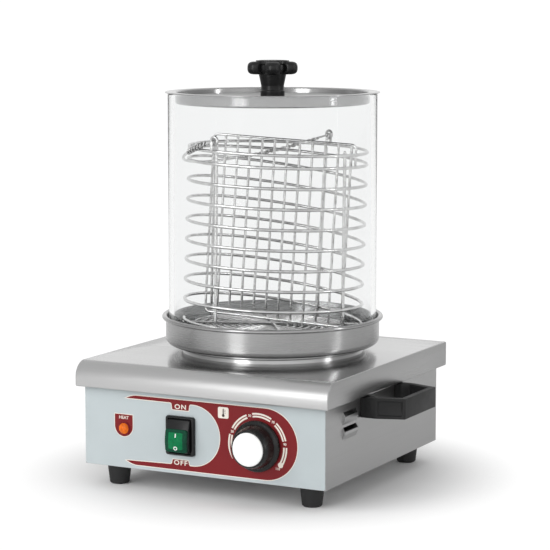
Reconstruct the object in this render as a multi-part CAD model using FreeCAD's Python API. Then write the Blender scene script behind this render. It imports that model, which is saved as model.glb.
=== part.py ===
import FreeCAD, Part
import math
import os

from FreeCAD import Placement, Rotation, Vector

# Glass-cylinder hot dog steamer.  Millimetres.  +Z up, front is -Y, origin on the floor
# under the middle of the machine.  Every function makes one named piece.

# ---- housing ------------------------------------------------------------------------------
PLATE_W = 264.0            # top plate, side to side
PLATE_D = 267.0            # top plate, front to back
PLATE_TOP = 118.5          # height of the top plate above the floor
SKIRT_BOTTOM = 94.8        # lower edge of its folded skirt
PLATE_T = 1.2
BULLNOSE_R = 15.0          # big bend along the front edge
SHEET = 1.0
BODY_W = 252.0
BODY_FRONT = -125.5
BODY_BACK = 122.5
BODY_BOTTOM = 20.5
FLANGE = 9.0               # rear flanges of the shell
OVERLAY_T = 0.5            # printed front foil

FOOT_X = 102.0
FOOT_FRONT_Y = -104.0
FOOT_BACK_Y = 105.0
FOOT_R_TOP = 11.5
FOOT_R_BOTTOM = 9.3

HANDLE_Y = -9.5            # middle of each side handle
HANDLE_BAR = 70.0          # straight grip
HANDLE_SLANT = 9.0         # how far each arm leans in towards the grip
HANDLE_REACH = 41.0        # grip's outer face from the side wall
HANDLE_NECK = 14.0         # straight part of each arm at the wall
HANDLE_Z = 74.5
HANDLE_H = 19.0
HANDLE_T = 6.0

LOUVRE_Y = (-91.0, -63.0)
LOUVRE_Z = (67.0, 81.0)    # lower edges of the two pressed vents in each side
LOUVRE_SLOT = 4.5
LOUVRE_DEPTH = 2.4

# ---- controls -----------------------------------------------------------------------------
SWITCH_X = -21.8
SWITCH_Z = 56.7
BEZEL_W = 30.0
BEZEL_H = 36.6
BEZEL_T = 3.5
ROCKER_W = 23.0
ROCKER_H = 31.0
ROCKER_TILT = 8.0          # half of the rocker's travel, in degrees
ROCKER_PIN_R = 1.2
LAMP_X = -83.0
LAMP_Z = 57.8
LAMP_R = 6.4
DIAL_X = 57.7
DIAL_Z = 55.0
DIAL_R = 23.5
DIAL_DEPTH = 19.0
DIAL_SHAFT_R = 3.0

# ---- steam side ---------------------------------------------------------------------------
AXIS_Y = 14.0              # axis of tank, pan, glass and lid
TANK_R = 83.5
TANK_BOTTOM = 58.0
COLLAR_R = 87.5            # raised collar of the top plate
TANK_RIM_R = 91.0
TANK_RIM_T = 1.4
TANK_BEAD_R = 1.65
PAN_Z = 125.5              # underside of the pan, and top of the tank's rim
PAN_R = 103.0
PAN_RIM_Z = 153.5
PAN_CORNER = 6.0
RIM_BEAD = 2.0
STEAM_HOLE_R = 20.0
STEAM_RING_R = 58.0
STEAM_RING_HOLE_R = 4.0
GLASS_R = 100.0
GLASS_T = 5.0
GLASS_H = 240.0
GLASS_Z = PAN_Z + SHEET
LID_Z = GLASS_Z + GLASS_H
LID_FLANGE_R = 102.7
LID_DRUM_R = 93.1
LID_DRUM_H = 10.5
LID_WELL_R = 87.0
LID_FLOOR_Z = LID_Z - 3.8
LID_T = 0.9
KNOB_R = 25.1
KNOB_TOP = 397.0

# ---- basket, in its own frame: z = 0 is the base ring ---------------------------------------
BASKET_Z = 148.0
LEAN = 1.9                 # the wound wires stand a little out of true
LEAN_TOWARDS = 27.5        # plan direction of that lean
COIL_R = 85.5
COIL_WIRE = 1.5
PITCH = 19.1
TURNS = 8
TOP_RING_Z = 164.4
UPRIGHT_R = 82.5
UPRIGHTS = ((-102.2, -106.5, True), (-9.2, -14.3, False), (85.0, 81.5, True), (165.1, 167.1, False))
HOOK_Z = 171.0             # where the hooked uprights start to curl
HOOK_R = 3.2
HOOK_TIP = 5.0             # straight end of each hook
DIVIDER_DEG = -3.8
DIVIDER_RODS = 12
ROD_GAP = 14.0
ROD_FIRST = -78.5
ROD_WIRE = 1.25
DIVIDER_BOTTOM = 0.1
DIVIDER_TOP = 173.0
DIVIDER_SLANT = 4.6        # the top wire sits this much further along than the bottom wire
DIVIDER_OFFSET = 4.0
FLOOR_WIRE = 1.0
FLOOR_STEP = 6.7
BAIL_WIRE = 1.3
BAIL_LOOP = 3.6
BAIL_R = 90.4
BAIL_DROP = 19.0           # folded bail hangs this many degrees below level
TAIL_WIRE = 0.9            # thin tails laid along the bail at each end

# ---- below the plate ------------------------------------------------------------------------
HEATER_R = 52.0
HEATER_WIRE = 4.0
HEATER_Z = 51.5
TAIL_X = 8.0
TAIL_BEND = 8.0
TAIL_END = 93.5
PIN_END = 101.5
SPREADER_T = 4.0
GLAND_X = -80.0
GLAND_Z = 45.0
GLAND_BORE_R = 4.2
GLAND_END = 145.8
BLOCK_X = -58.0            # left front corner of the terminal block
BLOCK_Y = 84.0


def box(x0, x1, y0, y1, z0, z1):
    return Part.makeBox(x1 - x0, y1 - y0, z1 - z0, Vector(x0, y0, z0))


def cyl(radius, length, at, axis=Vector(0, 0, 1)):
    return Part.makeCylinder(radius, length, at, axis)


def ring(outer, inner, z0, z1, x=0.0, y=AXIS_Y):
    height = z1 - z0
    return cyl(outer, height, Vector(x, y, z0)).cut(cyl(inner, height + 2, Vector(x, y, z0 - 1)))


def fused(shapes):
    return shapes[0].multiFuse(shapes[1:]).removeSplitter()


def revolved(points, x=0.0, y=AXIS_Y):
    """Turn a closed (radius, height) outline about a vertical axis."""
    wire = Part.makePolygon([Vector(r, 0, z) for r, z in points + points[:1]])
    solid = Part.Face(wire).revolve(Vector(0, 0, 0), Vector(0, 0, 1), 360)
    solid.translate(Vector(x, y, 0))
    return solid


def arc_points(cx, cz, radius, start, stop, steps=6):
    """Points of an arc in the (radius, height) plane, angles in degrees."""
    span = math.radians(stop - start)
    first = math.radians(start)
    return [(cx + radius * math.cos(first + span * i / steps),
             cz + radius * math.sin(first + span * i / steps)) for i in range(steps + 1)]


def extruded(points, x0, x1):
    """Closed (y, z) outline pulled along X."""
    wire = Part.makePolygon([Vector(x0, y, z) for y, z in points + points[:1]])
    return Part.Face(wire).extrude(Vector(x1 - x0, 0, 0))


def extruded_up(points, z0, z1):
    """Closed (x, y) outline pulled up."""
    wire = Part.makePolygon([Vector(x, y, z0) for x, y in points + points[:1]])
    return Part.Face(wire).extrude(Vector(0, 0, z1 - z0))


def polar(radius, degrees, z=0.0):
    a = math.radians(degrees)
    return Vector(radius * math.cos(a), radius * math.sin(a), z)


def swept(edges, radius):
    """Round wire along a chain of tangent edges."""
    path = Part.Wire(edges)
    start = path.Edges[0]
    at = start.valueAt(start.FirstParameter)
    along = start.tangentAt(start.FirstParameter)
    profile = Part.Wire([Part.makeCircle(radius, at, along)])
    return path.makePipeShell([profile], True, True)


def rounded_path(points, bend):
    """Straight runs joined by tangent arcs of one bend radius."""
    edges = []
    here = points[0]
    for before, corner, after in zip(points, points[1:], points[2:]):
        into = (corner - before).normalize()
        out = (after - corner).normalize()
        turn = into.getAngle(out)
        cut = bend * math.tan(turn / 2)
        first = corner - into * cut
        last = corner + out * cut
        middle = (out - into).normalize()
        centre = corner + middle * (bend / math.cos(turn / 2))
        edges.append(Part.makeLine(here, first))
        edges.append(Part.Arc(first, centre - middle * bend, last).toShape())
        here = last
    edges.append(Part.makeLine(here, points[-1]))
    return edges


def bent_wire(points, bend, radius):
    return swept(rounded_path(points, bend), radius)


def mirrored(shape):
    return shape.mirror(Vector(0, 0, 0), Vector(1, 0, 0))


def save(name, shape):
    shape.exportStep("parts/" + name + ".step")
    solids = shape.Solids
    print(name, "solids", len(solids), "valid", shape.isValid(), "volume", round(shape.Volume))


# ---- housing ------------------------------------------------------------------------------
def plate_profile(inset):
    """Side view of the top plate: flat top, bullnose front, folded back."""
    front = -PLATE_D / 2 + inset
    back = PLATE_D / 2 - inset
    top = PLATE_TOP - inset
    bend = BULLNOSE_R - inset
    nose = arc_points(front + bend, top - bend, bend, 180, 90, 10)
    return [(back, SKIRT_BOTTOM), (front, SKIRT_BOTTOM)] + nose + [(back, top)]


def top_plate():
    half = PLATE_W / 2
    outer = extruded(plate_profile(0), -half, half)
    sides = [e for e in outer.Edges
             if abs(abs(e.CenterOfMass.x) - half) < 0.01 and e.CenterOfMass.z > SKIRT_BOTTOM + 1]
    outer = outer.makeFillet(1.0, [e for e in sides if e.Length > BULLNOSE_R * 4])
    inner = extruded(plate_profile(PLATE_T), -half + PLATE_T, half - PLATE_T)
    inner = inner.fuse(box(-half + PLATE_T, half - PLATE_T, -PLATE_D / 2 + PLATE_T, PLATE_D / 2 - PLATE_T,
                           SKIRT_BOTTOM - 5, SKIRT_BOTTOM + 1))
    shell = outer.cut(inner)
    hole_r = TANK_R + 1.3
    collar = ring(COLLAR_R, hole_r, PLATE_TOP - PLATE_T, PAN_Z - TANK_RIM_T)
    hole = cyl(hole_r, 20, Vector(0, AXIS_Y, PLATE_TOP - 10))
    return shell.fuse(collar).cut(hole).removeSplitter()


def louvre_slot(side, z):
    y0, y1 = LOUVRE_Y
    wall = side * BODY_W / 2
    return box(wall - 3, wall + 3, y0 + SHEET, y1 - SHEET, z, z + LOUVRE_SLOT)


def louvre_lip(side, z):
    """Pressed scoop under one slot: a bulged lip with closed ends, open at the top."""
    y0, y1 = LOUVRE_Y
    wall = side * BODY_W / 2
    deep = LOUVRE_DEPTH
    lip = [(0, -7), (deep, -2), (deep, 0.8), (deep - SHEET, 0.8), (deep - SHEET, -1.7), (0, -5)]
    cheek = [(0, -7), (deep, -2), (deep, 0.8), (0, LOUVRE_SLOT)]
    solids = []
    for outline, y, length in ((lip, y0, y1 - y0), (cheek, y0, SHEET), (cheek, y1, -SHEET)):
        corners = [Vector(wall + side * x, y, z + dz) for x, dz in outline + outline[:1]]
        solids.append(Part.Face(Part.makePolygon(corners)).extrude(Vector(0, length, 0)))
    return fused(solids)


def front_cuts():
    """Openings for switch, lamp and dial shaft, through the front."""
    y0 = BODY_FRONT - 2
    length = 8.0
    hw = BEZEL_W / 2 - 2
    hh = BEZEL_H / 2 - 2
    switch = box(SWITCH_X - hw, SWITCH_X + hw, y0, y0 + length, SWITCH_Z - hh, SWITCH_Z + hh)
    lamp = cyl(LAMP_R - 1.2, length, Vector(LAMP_X, y0, LAMP_Z), Vector(0, 1, 0))
    shaft = cyl(5.2, length, Vector(DIAL_X, y0, DIAL_Z), Vector(0, 1, 0))
    return fused([switch, lamp, shaft])


def body_shell():
    """Front and sides in one bend, open at the back and below, with rear screw flanges."""
    half = BODY_W / 2
    top = PLATE_TOP - PLATE_T
    outer = box(-half, half, BODY_FRONT, BODY_BACK, BODY_BOTTOM, top)
    inner = box(-half + SHEET, half - SHEET, BODY_FRONT + SHEET, BODY_BACK + 1, BODY_BOTTOM - 1, top + 1)
    shell = outer.cut(inner)
    flange_back = BODY_BACK - SHEET
    for side in (-1, 1):
        edge = side * half
        x0, x1 = sorted((edge, edge - side * FLANGE))
        extras = [box(x0, x1, flange_back - SHEET, flange_back, BODY_BOTTOM + 4, top)]
        extras += [louvre_lip(side, z) for z in LOUVRE_Z]
        shell = shell.multiFuse(extras)
        inside = box(-half, half, BODY_FRONT, BODY_BACK, BODY_BOTTOM, top)
        for z in LOUVRE_Z:
            shell = shell.cut(louvre_slot(side, z).common(inside))
        for y in handle_screw_ys():
            start = Vector(side * (half - 5), y, HANDLE_Z + HANDLE_H / 2)
            shell = shell.cut(cyl(2.6, 10, start, Vector(side, 0, 0)))
    under_nose = box(-half, half, BODY_FRONT - 1, BODY_FRONT + 3, top - 4, top + 1)
    return shell.cut(front_cuts()).cut(under_nose).removeSplitter()


def front_overlay():
    half = BODY_W / 2 - 0.3
    sheet = box(-half, half, BODY_FRONT - OVERLAY_T, BODY_FRONT, BODY_BOTTOM + 0.3, SKIRT_BOTTOM + 16)
    corners = [e for e in sheet.Edges if abs(e.Length - OVERLAY_T) < 0.01]
    sheet = sheet.makeFillet(2.0, corners)
    return sheet.cut(front_cuts())


def back_panel():
    half = BODY_W / 2 - 1.2
    y1 = BODY_BACK
    top = PLATE_TOP - PLATE_T - 0.4
    panel = box(-half, half, y1 - SHEET, y1, BODY_BOTTOM + 0.4, top)
    vents = [box(x, x + 28, y1 - 5, y1 + 5, z, z + 4.5)
             for x in (10, 48, 86) for z in (46, 56, 66, 76)]
    gland = cyl(10.2, 10, Vector(GLAND_X, y1 - 5, GLAND_Z), Vector(0, 1, 0))
    stud = cyl(2.6, 10, Vector(GLAND_X + 34, y1 - 5, GLAND_Z - 8), Vector(0, 1, 0))
    return panel.cut(fused(vents + [gland, stud]))


def bottom_plate():
    half = BODY_W / 2 - SHEET
    y0 = BODY_FRONT + SHEET
    y1 = BODY_BACK - 2 * SHEET
    z0 = BODY_BOTTOM
    tray = box(-half, half, y0, y1, z0, z0 + SHEET)
    lips = [box(-half, half, y0, y0 + SHEET, z0, z0 + 12), box(-half, half, y1 - SHEET, y1, z0, z0 + 3.5)]
    plate = fused([tray] + lips)
    slots = [box(-36, 36, y - 2.5, y + 2.5, z0 - 5, z0 + 5) for y in (-40, -20, 0, 20, 40, 60)]
    screws = [cyl(2.3, 10, Vector(x, y, z0 - 5)) for x, y in foot_places()]
    return plate.cut(fused(slots + screws))


def foot_places():
    return [(sx * FOOT_X, y) for sx in (-1, 1) for y in (FOOT_FRONT_Y, FOOT_BACK_Y)]


def foot(x, y):
    outline = [(2.4, 5.5), (4.8, 5.5), (4.8, 0.0), (FOOT_R_BOTTOM - 1.2, 0.0), (FOOT_R_BOTTOM, 1.2),
               (FOOT_R_TOP, BODY_BOTTOM - 1.0), (FOOT_R_TOP - 0.8, BODY_BOTTOM), (2.4, BODY_BOTTOM)]
    return revolved(outline, x, y)


def foot_screws():
    screws = []
    for x, y in foot_places():
        head = cyl(4.2, 2.6, Vector(x, y, 2.9))
        shank = cyl(2.0, BODY_BOTTOM + 1, Vector(x, y, 5.0))
        nut = cyl(4.2, 3.2, Vector(x, y, BODY_BOTTOM + SHEET))
        screws.append(fused([head, shank, nut]))
    return Part.makeCompound(screws)


def casing_screws():
    """Self-tapping screws that hold the back panel to the shell's flanges."""
    screws = []
    for side in (-1, 1):
        for z in (34, 88):
            x = side * (BODY_W / 2 - 6)
            head = cyl(3.2, 1.6, Vector(x, BODY_BACK, z), Vector(0, 1, 0))
            head = head.makeFillet(0.8, [e for e in head.Edges if e.BoundBox.YMin > BODY_BACK + 1])
            screws.append(head)
    return Part.makeCompound(screws)


# ---- side handles ---------------------------------------------------------------------------
def handle_screw_ys():
    reach = HANDLE_BAR / 2 + HANDLE_SLANT - HANDLE_T / 2 - 3
    return [HANDLE_Y - reach, HANDLE_Y + reach]


def side_handle():
    wall = BODY_W / 2
    out = wall + HANDLE_REACH
    neck = wall + HANDLE_NECK
    bar = HANDLE_BAR / 2
    foot_y = bar + HANDLE_SLANT
    t = HANDLE_T
    outer = [(wall, foot_y), (neck, foot_y), (out, bar), (out, -bar), (neck, -foot_y), (wall, -foot_y)]
    lug = 12.0
    inner = [(wall, -foot_y + lug), (wall + 7, -foot_y + lug), (neck - 1, -foot_y + t + 1),
             (out - t, -bar + t - 0.5), (out - t, bar - t + 0.5), (neck - 1, foot_y - t - 1),
             (wall + 7, foot_y - lug), (wall, foot_y - lug)]
    outline = [(x, y + HANDLE_Y) for x, y in outer + inner]
    handle = extruded_up(outline, HANDLE_Z, HANDLE_Z + HANDLE_H)
    rims = [e for e in handle.Edges
            if e.BoundBox.ZLength < 0.01 and e.BoundBox.XMax > wall + 1 and e.Length > 8]
    handle = handle.makeFillet(1.2, rims)
    for y in handle_screw_ys():
        bore = cyl(2.0, 9, Vector(wall - 1, y, HANDLE_Z + HANDLE_H / 2), Vector(1, 0, 0))
        handle = handle.cut(bore)
    return handle


def handle_screws():
    screws = []
    for side in (-1, 1):
        for y in handle_screw_ys():
            z = HANDLE_Z + HANDLE_H / 2
            inside = side * (BODY_W / 2 - SHEET)
            shank = cyl(2.0, 8, Vector(inside, y, z), Vector(side, 0, 0))
            head = cyl(4.0, 2.6, Vector(inside - side * 2.6, y, z), Vector(side, 0, 0))
            screws.append(fused([head, shank]))
    return Part.makeCompound(screws)


# ---- controls -----------------------------------------------------------------------------
def panel_face():
    return BODY_FRONT - OVERLAY_T


def switch_bezel():
    y1 = panel_face()
    hw = BEZEL_W / 2
    hh = BEZEL_H / 2
    frame = box(SWITCH_X - hw, SWITCH_X + hw, y1 - BEZEL_T, y1, SWITCH_Z - hh, SWITCH_Z + hh)
    frame = frame.makeFillet(2.2, [e for e in frame.Edges if abs(e.Length - BEZEL_T) < 0.01])
    front = [e for e in frame.Edges if e.BoundBox.YMax < y1 - BEZEL_T + 0.01]
    frame = frame.makeChamfer(0.9, front)
    window = box(SWITCH_X - ROCKER_W / 2 - 0.6, SWITCH_X + ROCKER_W / 2 + 0.6, y1 - 20, y1 + 20,
                 SWITCH_Z - ROCKER_H / 2 - 0.8, SWITCH_Z + ROCKER_H / 2 + 0.8)
    return frame.cut(window).cut(pivot_rod(ROCKER_PIN_R + 0.02, BEZEL_W - 4.8))


def switch_body():
    y0 = BODY_FRONT
    hw = BEZEL_W / 2 - 2.4
    hh = BEZEL_H / 2 - 2.4
    can = box(SWITCH_X - hw, SWITCH_X + hw, y0 + 7, y0 + 26, SWITCH_Z - hh, SWITCH_Z + hh)
    walls = box(SWITCH_X - hw, SWITCH_X + hw, panel_face(), y0 + 7, SWITCH_Z - hh, SWITCH_Z + hh)
    walls = walls.cut(box(SWITCH_X - hw + 0.7, SWITCH_X + hw - 0.7, panel_face() - 1, y0 + 8,
                          SWITCH_Z - hh + 0.7, SWITCH_Z + hh - 0.7))
    tabs = []
    for dx in (-6, 6):
        for dz in (-9, 9):
            x = SWITCH_X + dx
            z = SWITCH_Z + dz
            tabs.append(box(x - 0.4, x + 0.4, y0 + 26, y0 + 36, z - 3.1, z + 3.1))
    return fused([can, walls] + tabs).cut(pivot_rod(ROCKER_PIN_R + 0.02, 40.0))


def pivot_rod(radius, length):
    """Rod along the rocker's pivot axis, centred on the switch."""
    return cyl(radius, length, Vector(SWITCH_X - length / 2, panel_face(), SWITCH_Z), Vector(1, 0, 0))


def rocker_outline(grow):
    """Side view (y, z) of the rocker about its pivot, not yet tilted."""
    top = ROCKER_H / 2
    return [(-6.2 - grow, top - 1.0), (-8.6 - grow, 5.0), (-8.6 - grow, -5.0), (-6.2 - grow, -top + 1.0),
            (-5.0, -top), (0.5, -top + 2.0), (3.4, -7.0), (3.4, 7.0), (0.5, top - 2.0), (-5.0, top)]


def tilted_about_pivot(shape):
    """Rest is the ON state: the top is pressed in."""
    shape.rotate(Vector(0, 0, 0), Vector(1, 0, 0), -ROCKER_TILT)
    shape.translate(Vector(SWITCH_X, panel_face(), SWITCH_Z))
    return shape


def switch_rocker():
    hw = ROCKER_W / 2
    block = extruded(rocker_outline(0.0), -hw, hw)
    pocket = box(-hw + 2.0, hw - 2.0, -20, -6.8, -ROCKER_H / 2 + 3.0, 6.6)
    block = tilted_about_pivot(block.cut(pocket))
    return block.cut(pivot_rod(ROCKER_PIN_R + 0.05, 40.0))


def switch_lens():
    """Green window set in the lower part of the rocker."""
    hw = ROCKER_W / 2 - 2.0
    lens = extruded(rocker_outline(0.9), -hw, hw)
    lens = lens.common(box(-hw, hw, -20, -6.8, -ROCKER_H / 2 + 3.0, 6.6))
    return tilted_about_pivot(lens)


def rocker_pin():
    return pivot_rod(ROCKER_PIN_R, BEZEL_W - 5.0)


def lamp_lens():
    y1 = panel_face()
    rim = cyl(LAMP_R, 1.2, Vector(LAMP_X, y1 - 1.2, LAMP_Z), Vector(0, 1, 0))
    dome_r = LAMP_R - 0.9
    ball_r = dome_r * 1.35
    rise = math.sqrt(ball_r ** 2 - dome_r ** 2)
    ball = Part.makeSphere(ball_r, Vector(LAMP_X, y1 - 1.2 + rise, LAMP_Z))
    dome = ball.common(cyl(dome_r, 10, Vector(LAMP_X, y1 - 11, LAMP_Z), Vector(0, 1, 0)))
    return fused([rim, dome.common(box(-200, 200, y1 - 11, y1 - 1.0, 0, 200))])


def lamp_holder():
    y0 = panel_face()
    barrel = cyl(LAMP_R - 1.5, 24, Vector(LAMP_X, y0, LAMP_Z), Vector(0, 1, 0))
    nut = cyl(LAMP_R + 1, 3, Vector(LAMP_X, BODY_FRONT + SHEET, LAMP_Z), Vector(0, 1, 0))
    tabs = [box(LAMP_X + dx - 0.4, LAMP_X + dx + 0.4, y0 + 24, y0 + 31, LAMP_Z - 1.5, LAMP_Z + 1.5)
            for dx in (-2.5, 2.5)]
    return fused([barrel, nut] + tabs)


def turned_front(outline):
    """Revolve an outline of (radius, distance in front of the panel) about the dial axis."""
    wire = Part.makePolygon([Vector(r, 0, d) for r, d in outline + outline[:1]])
    solid = Part.Face(wire).revolve(Vector(0, 0, 0), Vector(0, 0, 1), 360)
    solid.rotate(Vector(0, 0, 0), Vector(1, 0, 0), 90)
    solid.translate(Vector(DIAL_X, panel_face(), DIAL_Z))
    return solid


def thermostat_knob():
    body = turned_front([(0, 1.0), (DIAL_R, 1.0), (DIAL_R, 4.2), (DIAL_R - 1.2, 5.4), (20.6, 6.2),
                         (17.2, DIAL_DEPTH - 1.2), (16.4, DIAL_DEPTH), (15.4, DIAL_DEPTH),
                         (15.4, DIAL_DEPTH - 1.2), (0, DIAL_DEPTH - 1.2)])
    flutes = []
    for k in range(24):
        at = polar(21.4, 15 * k)
        flutes.append(cyl(1.1, 14, Vector(DIAL_X + at.x, panel_face() - DIAL_DEPTH - 1, DIAL_Z + at.y),
                          Vector(0, 1, 0)))
    body = body.cut(Part.makeCompound(flutes))
    bore = cyl(DIAL_SHAFT_R + 0.02, 11, Vector(DIAL_X, panel_face() - 11.5, DIAL_Z), Vector(0, 1, 0))
    return body.cut(bore)


def knob_cap():
    depth = DIAL_DEPTH
    return turned_front([(0, depth - 1.2), (15.3, depth - 1.2), (15.3, depth + 0.1), (14.4, depth + 0.8),
                         (0, depth + 0.8)])


def thermostat_shaft():
    return cyl(DIAL_SHAFT_R, 20, Vector(DIAL_X, panel_face() - 11.4, DIAL_Z), Vector(0, 1, 0))


def thermostat_body():
    y0 = BODY_FRONT + SHEET
    bush = cyl(5.0, y0 + 6 - panel_face(), Vector(DIAL_X, panel_face(), DIAL_Z), Vector(0, 1, 0))
    case = box(DIAL_X - 20, DIAL_X + 20, y0 + 2, y0 + 26, DIAL_Z - 15, DIAL_Z + 15)
    case = case.makeFillet(2, [e for e in case.Edges if e.Length > 20])
    flange = box(DIAL_X - 24, DIAL_X + 24, y0, y0 + 2, DIAL_Z - 10, DIAL_Z + 10)
    bore = cyl(DIAL_SHAFT_R + 0.03, 12, Vector(DIAL_X, panel_face() - 1, DIAL_Z), Vector(0, 1, 0))
    return fused([bush, case, flange]).cut(bore)


# ---- heating and wiring ---------------------------------------------------------------------
def water_tank():
    inner = TANK_R - SHEET
    top = PAN_Z
    corner = 10.0
    outside = arc_points(TANK_R - corner, TANK_BOTTOM + corner, corner, -90, 0)
    inside = arc_points(inner - corner + 1, TANK_BOTTOM + SHEET + corner - 1, corner - 1, 0, -90)
    bead = arc_points(TANK_RIM_R - TANK_BEAD_R, top - TANK_BEAD_R, TANK_BEAD_R, -150, 90, 10)
    flange = [(TANK_R, top - TANK_RIM_T), (COLLAR_R + 0.1, top - TANK_RIM_T)]
    mouth = [(inner + 0.8, top), (inner, top - 0.8)]
    outline = [(0, TANK_BOTTOM)] + outside + flange + bead + mouth + inside + [(0, TANK_BOTTOM + SHEET)]
    return revolved(outline)


def heater_form(wire):
    """Ring whose two ends turn outwards into parallel tails, for a given wire radius."""
    rise = math.sqrt((HEATER_R + TAIL_BEND) ** 2 - (TAIL_X + TAIL_BEND) ** 2)
    turn = math.degrees(math.atan2(rise, TAIL_X + TAIL_BEND))

    def at(x, y):
        return Vector(x, y + AXIS_Y, HEATER_Z)

    def bend(side):
        """Quarter turn between ring and tail: its ring end, middle and tail end."""
        swing = [polar(TAIL_BEND, a) for a in (turn + 180, (turn + 360) / 2, 180)]
        return [at(side * (TAIL_X + TAIL_BEND + v.x), rise + v.y) for v in swing]

    left = bend(-1)
    right = bend(1)
    edges = [Part.makeLine(Vector(-TAIL_X, TAIL_END, HEATER_Z), left[2]),
             Part.Arc(left[2], left[1], left[0]).toShape(),
             Part.Arc(left[0], at(0, -HEATER_R), right[0]).toShape(),
             Part.Arc(right[0], right[1], right[2]).toShape(),
             Part.makeLine(right[2], Vector(TAIL_X, TAIL_END, HEATER_Z))]
    return swept(edges, wire)


def heat_spreader():
    plate = ring(66, 9, TANK_BOTTOM - SPREADER_T, TANK_BOTTOM)
    return plate.cut(heater_form(HEATER_WIRE + 0.05))


def heating_element():
    """Tubular ring heater, with a thin pin at the end of each tail."""
    start = TAIL_END - 3
    pins = [cyl(1.2, PIN_END - start, Vector(side * TAIL_X, start, HEATER_Z), Vector(0, 1, 0))
            for side in (-1, 1)]
    return fused([heater_form(HEATER_WIRE)] + pins)


def heater_clamp():
    """Cross bar that presses the ring against the spreader, with its central nut."""
    z = HEATER_Z - HEATER_WIRE
    bar = box(-62, 62, AXIS_Y - 9, AXIS_Y + 9, z - 2, z)
    stud = cyl(4.0, TANK_BOTTOM - z + 10, Vector(0, AXIS_Y, z - 10))
    nut = cyl(7.5, 6, Vector(0, AXIS_Y, z - 8))
    return fused([bar, stud, nut])


def tank_probe():
    """Thermostat bulb, clipped to the front of the tank wall, and its capillary tube."""
    z = 74.0
    y = AXIS_Y - TANK_R - 3.1
    start_y = BODY_FRONT + SHEET + 26
    bulb = cyl(3.0, 44, Vector(-22, y, z), Vector(1, 0, 0))
    path = [Vector(DIAL_X, start_y, DIAL_Z), Vector(DIAL_X, start_y + 14, DIAL_Z), Vector(DIAL_X - 8, y - 4, z),
            Vector(20, y, z)]
    return fused([bulb, bent_wire(path, 3.0, 0.9)])


def terminal_block():
    base_top = BODY_BOTTOM + SHEET + 10
    base = box(BLOCK_X, BLOCK_X + 42, BLOCK_Y, BLOCK_Y + 18, BODY_BOTTOM + SHEET, base_top)
    ribs = []
    screws = []
    for k in range(3):
        x = BLOCK_X + 2 + 13.5 * k
        ribs.append(box(x, x + 10, BLOCK_Y + 3, BLOCK_Y + 15, base_top, base_top + 8))
        screws.append(cyl(2.2, 2, Vector(x + 5, BLOCK_Y + 9, base_top + 7)))
    return fused([base] + ribs).cut(fused(screws))


def wiring():
    """Insulated leads between terminal block, switch, thermostat, lamp and heater."""
    low = BODY_BOTTOM + SHEET + 7
    tabs = BODY_FRONT + 36.1
    left = SWITCH_X - 6
    right = SWITCH_X + 6
    z0 = SWITCH_Z - 9
    z1 = SWITCH_Z + 9
    front = BLOCK_Y - 0.1
    back = BLOCK_Y + 18.1
    pins = PIN_END + 0.1
    runs = [
        [(BLOCK_X + 7, front, low), (BLOCK_X + 7, 40, low), (left, -40, low), (left, -76, z0),
         (left, tabs, z0)],
        [(BLOCK_X + 20, front, low), (BLOCK_X + 20, 50, low), (right, -36, low), (right, -76, z0),
         (right, tabs, z0)],
        [(right, tabs, z1), (right, -78, z1), (20, -84, 50), (31, -110, 50), (DIAL_X - 20.1, -110, 50)],
        [(LAMP_X + 2.5, panel_face() + 31.1, LAMP_Z), (LAMP_X + 2.5, -82, LAMP_Z), (-50, -78, z1),
         (left, -80, z1), (left, tabs, z1)],
        [(-TAIL_X, pins, HEATER_Z), (-TAIL_X, 107.5, HEATER_Z), (-24, 107.5, 30), (-24, back, 30)],
        [(TAIL_X, pins, HEATER_Z), (TAIL_X, 114, HEATER_Z), (-40, 114, 28), (-40, back, 28)],
    ]
    return Part.makeCompound([bent_wire([Vector(*at) for at in run], 5.0, 1.4) for run in runs])


def gland_part(radius, y0, y1):
    return cyl(radius, y1 - y0, Vector(GLAND_X, y0, GLAND_Z), Vector(0, 1, 0))


def cable_gland():
    """Threaded gland in the back panel, with an open bore."""
    y = BODY_BACK
    corners = [polar(12.5, 60 * k) for k in range(7)]
    outline = Part.makePolygon([Vector(GLAND_X + c.x, y, GLAND_Z + c.y) for c in corners])
    hexagon = Part.Face(outline).extrude(Vector(0, 6, 0))
    body = fused([gland_part(10.0, y - 10, y + 4), hexagon, gland_part(9.2, y + 6, y + 10)])
    return body.cut(gland_part(GLAND_BORE_R, y - 20, y + 40))


def gland_nut():
    """Dome nut with twelve grip grooves."""
    y = BODY_BACK + 10
    base_end = y + 7
    dome = Part.makeCone(11.4, 7.2, GLAND_END - base_end, Vector(GLAND_X, base_end, GLAND_Z), Vector(0, 1, 0))
    grips = []
    for k in range(12):
        at = polar(11.7, 30 * k)
        grips.append(cyl(0.9, 8, Vector(GLAND_X + at.x, y - 0.5, GLAND_Z + at.y), Vector(0, 1, 0)))
    nut = fused([dome, gland_part(11.4, y, base_end)])
    return nut.cut(gland_part(GLAND_BORE_R, y - 5, y + 40)).cut(Part.makeCompound(grips))


def gland_locknut():
    y = BODY_BACK - SHEET
    return gland_part(12.5, y - 4, y).cut(gland_part(10.05, y - 10, y + 10))


def earth_stud():
    x = GLAND_X + 34
    z = GLAND_Z - 8
    shank = cyl(2.4, 16, Vector(x, BODY_BACK - 8, z), Vector(0, 1, 0))
    nut = cyl(4.6, 3.2, Vector(x, BODY_BACK, z), Vector(0, 1, 0))
    return fused([shank, nut])


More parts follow.
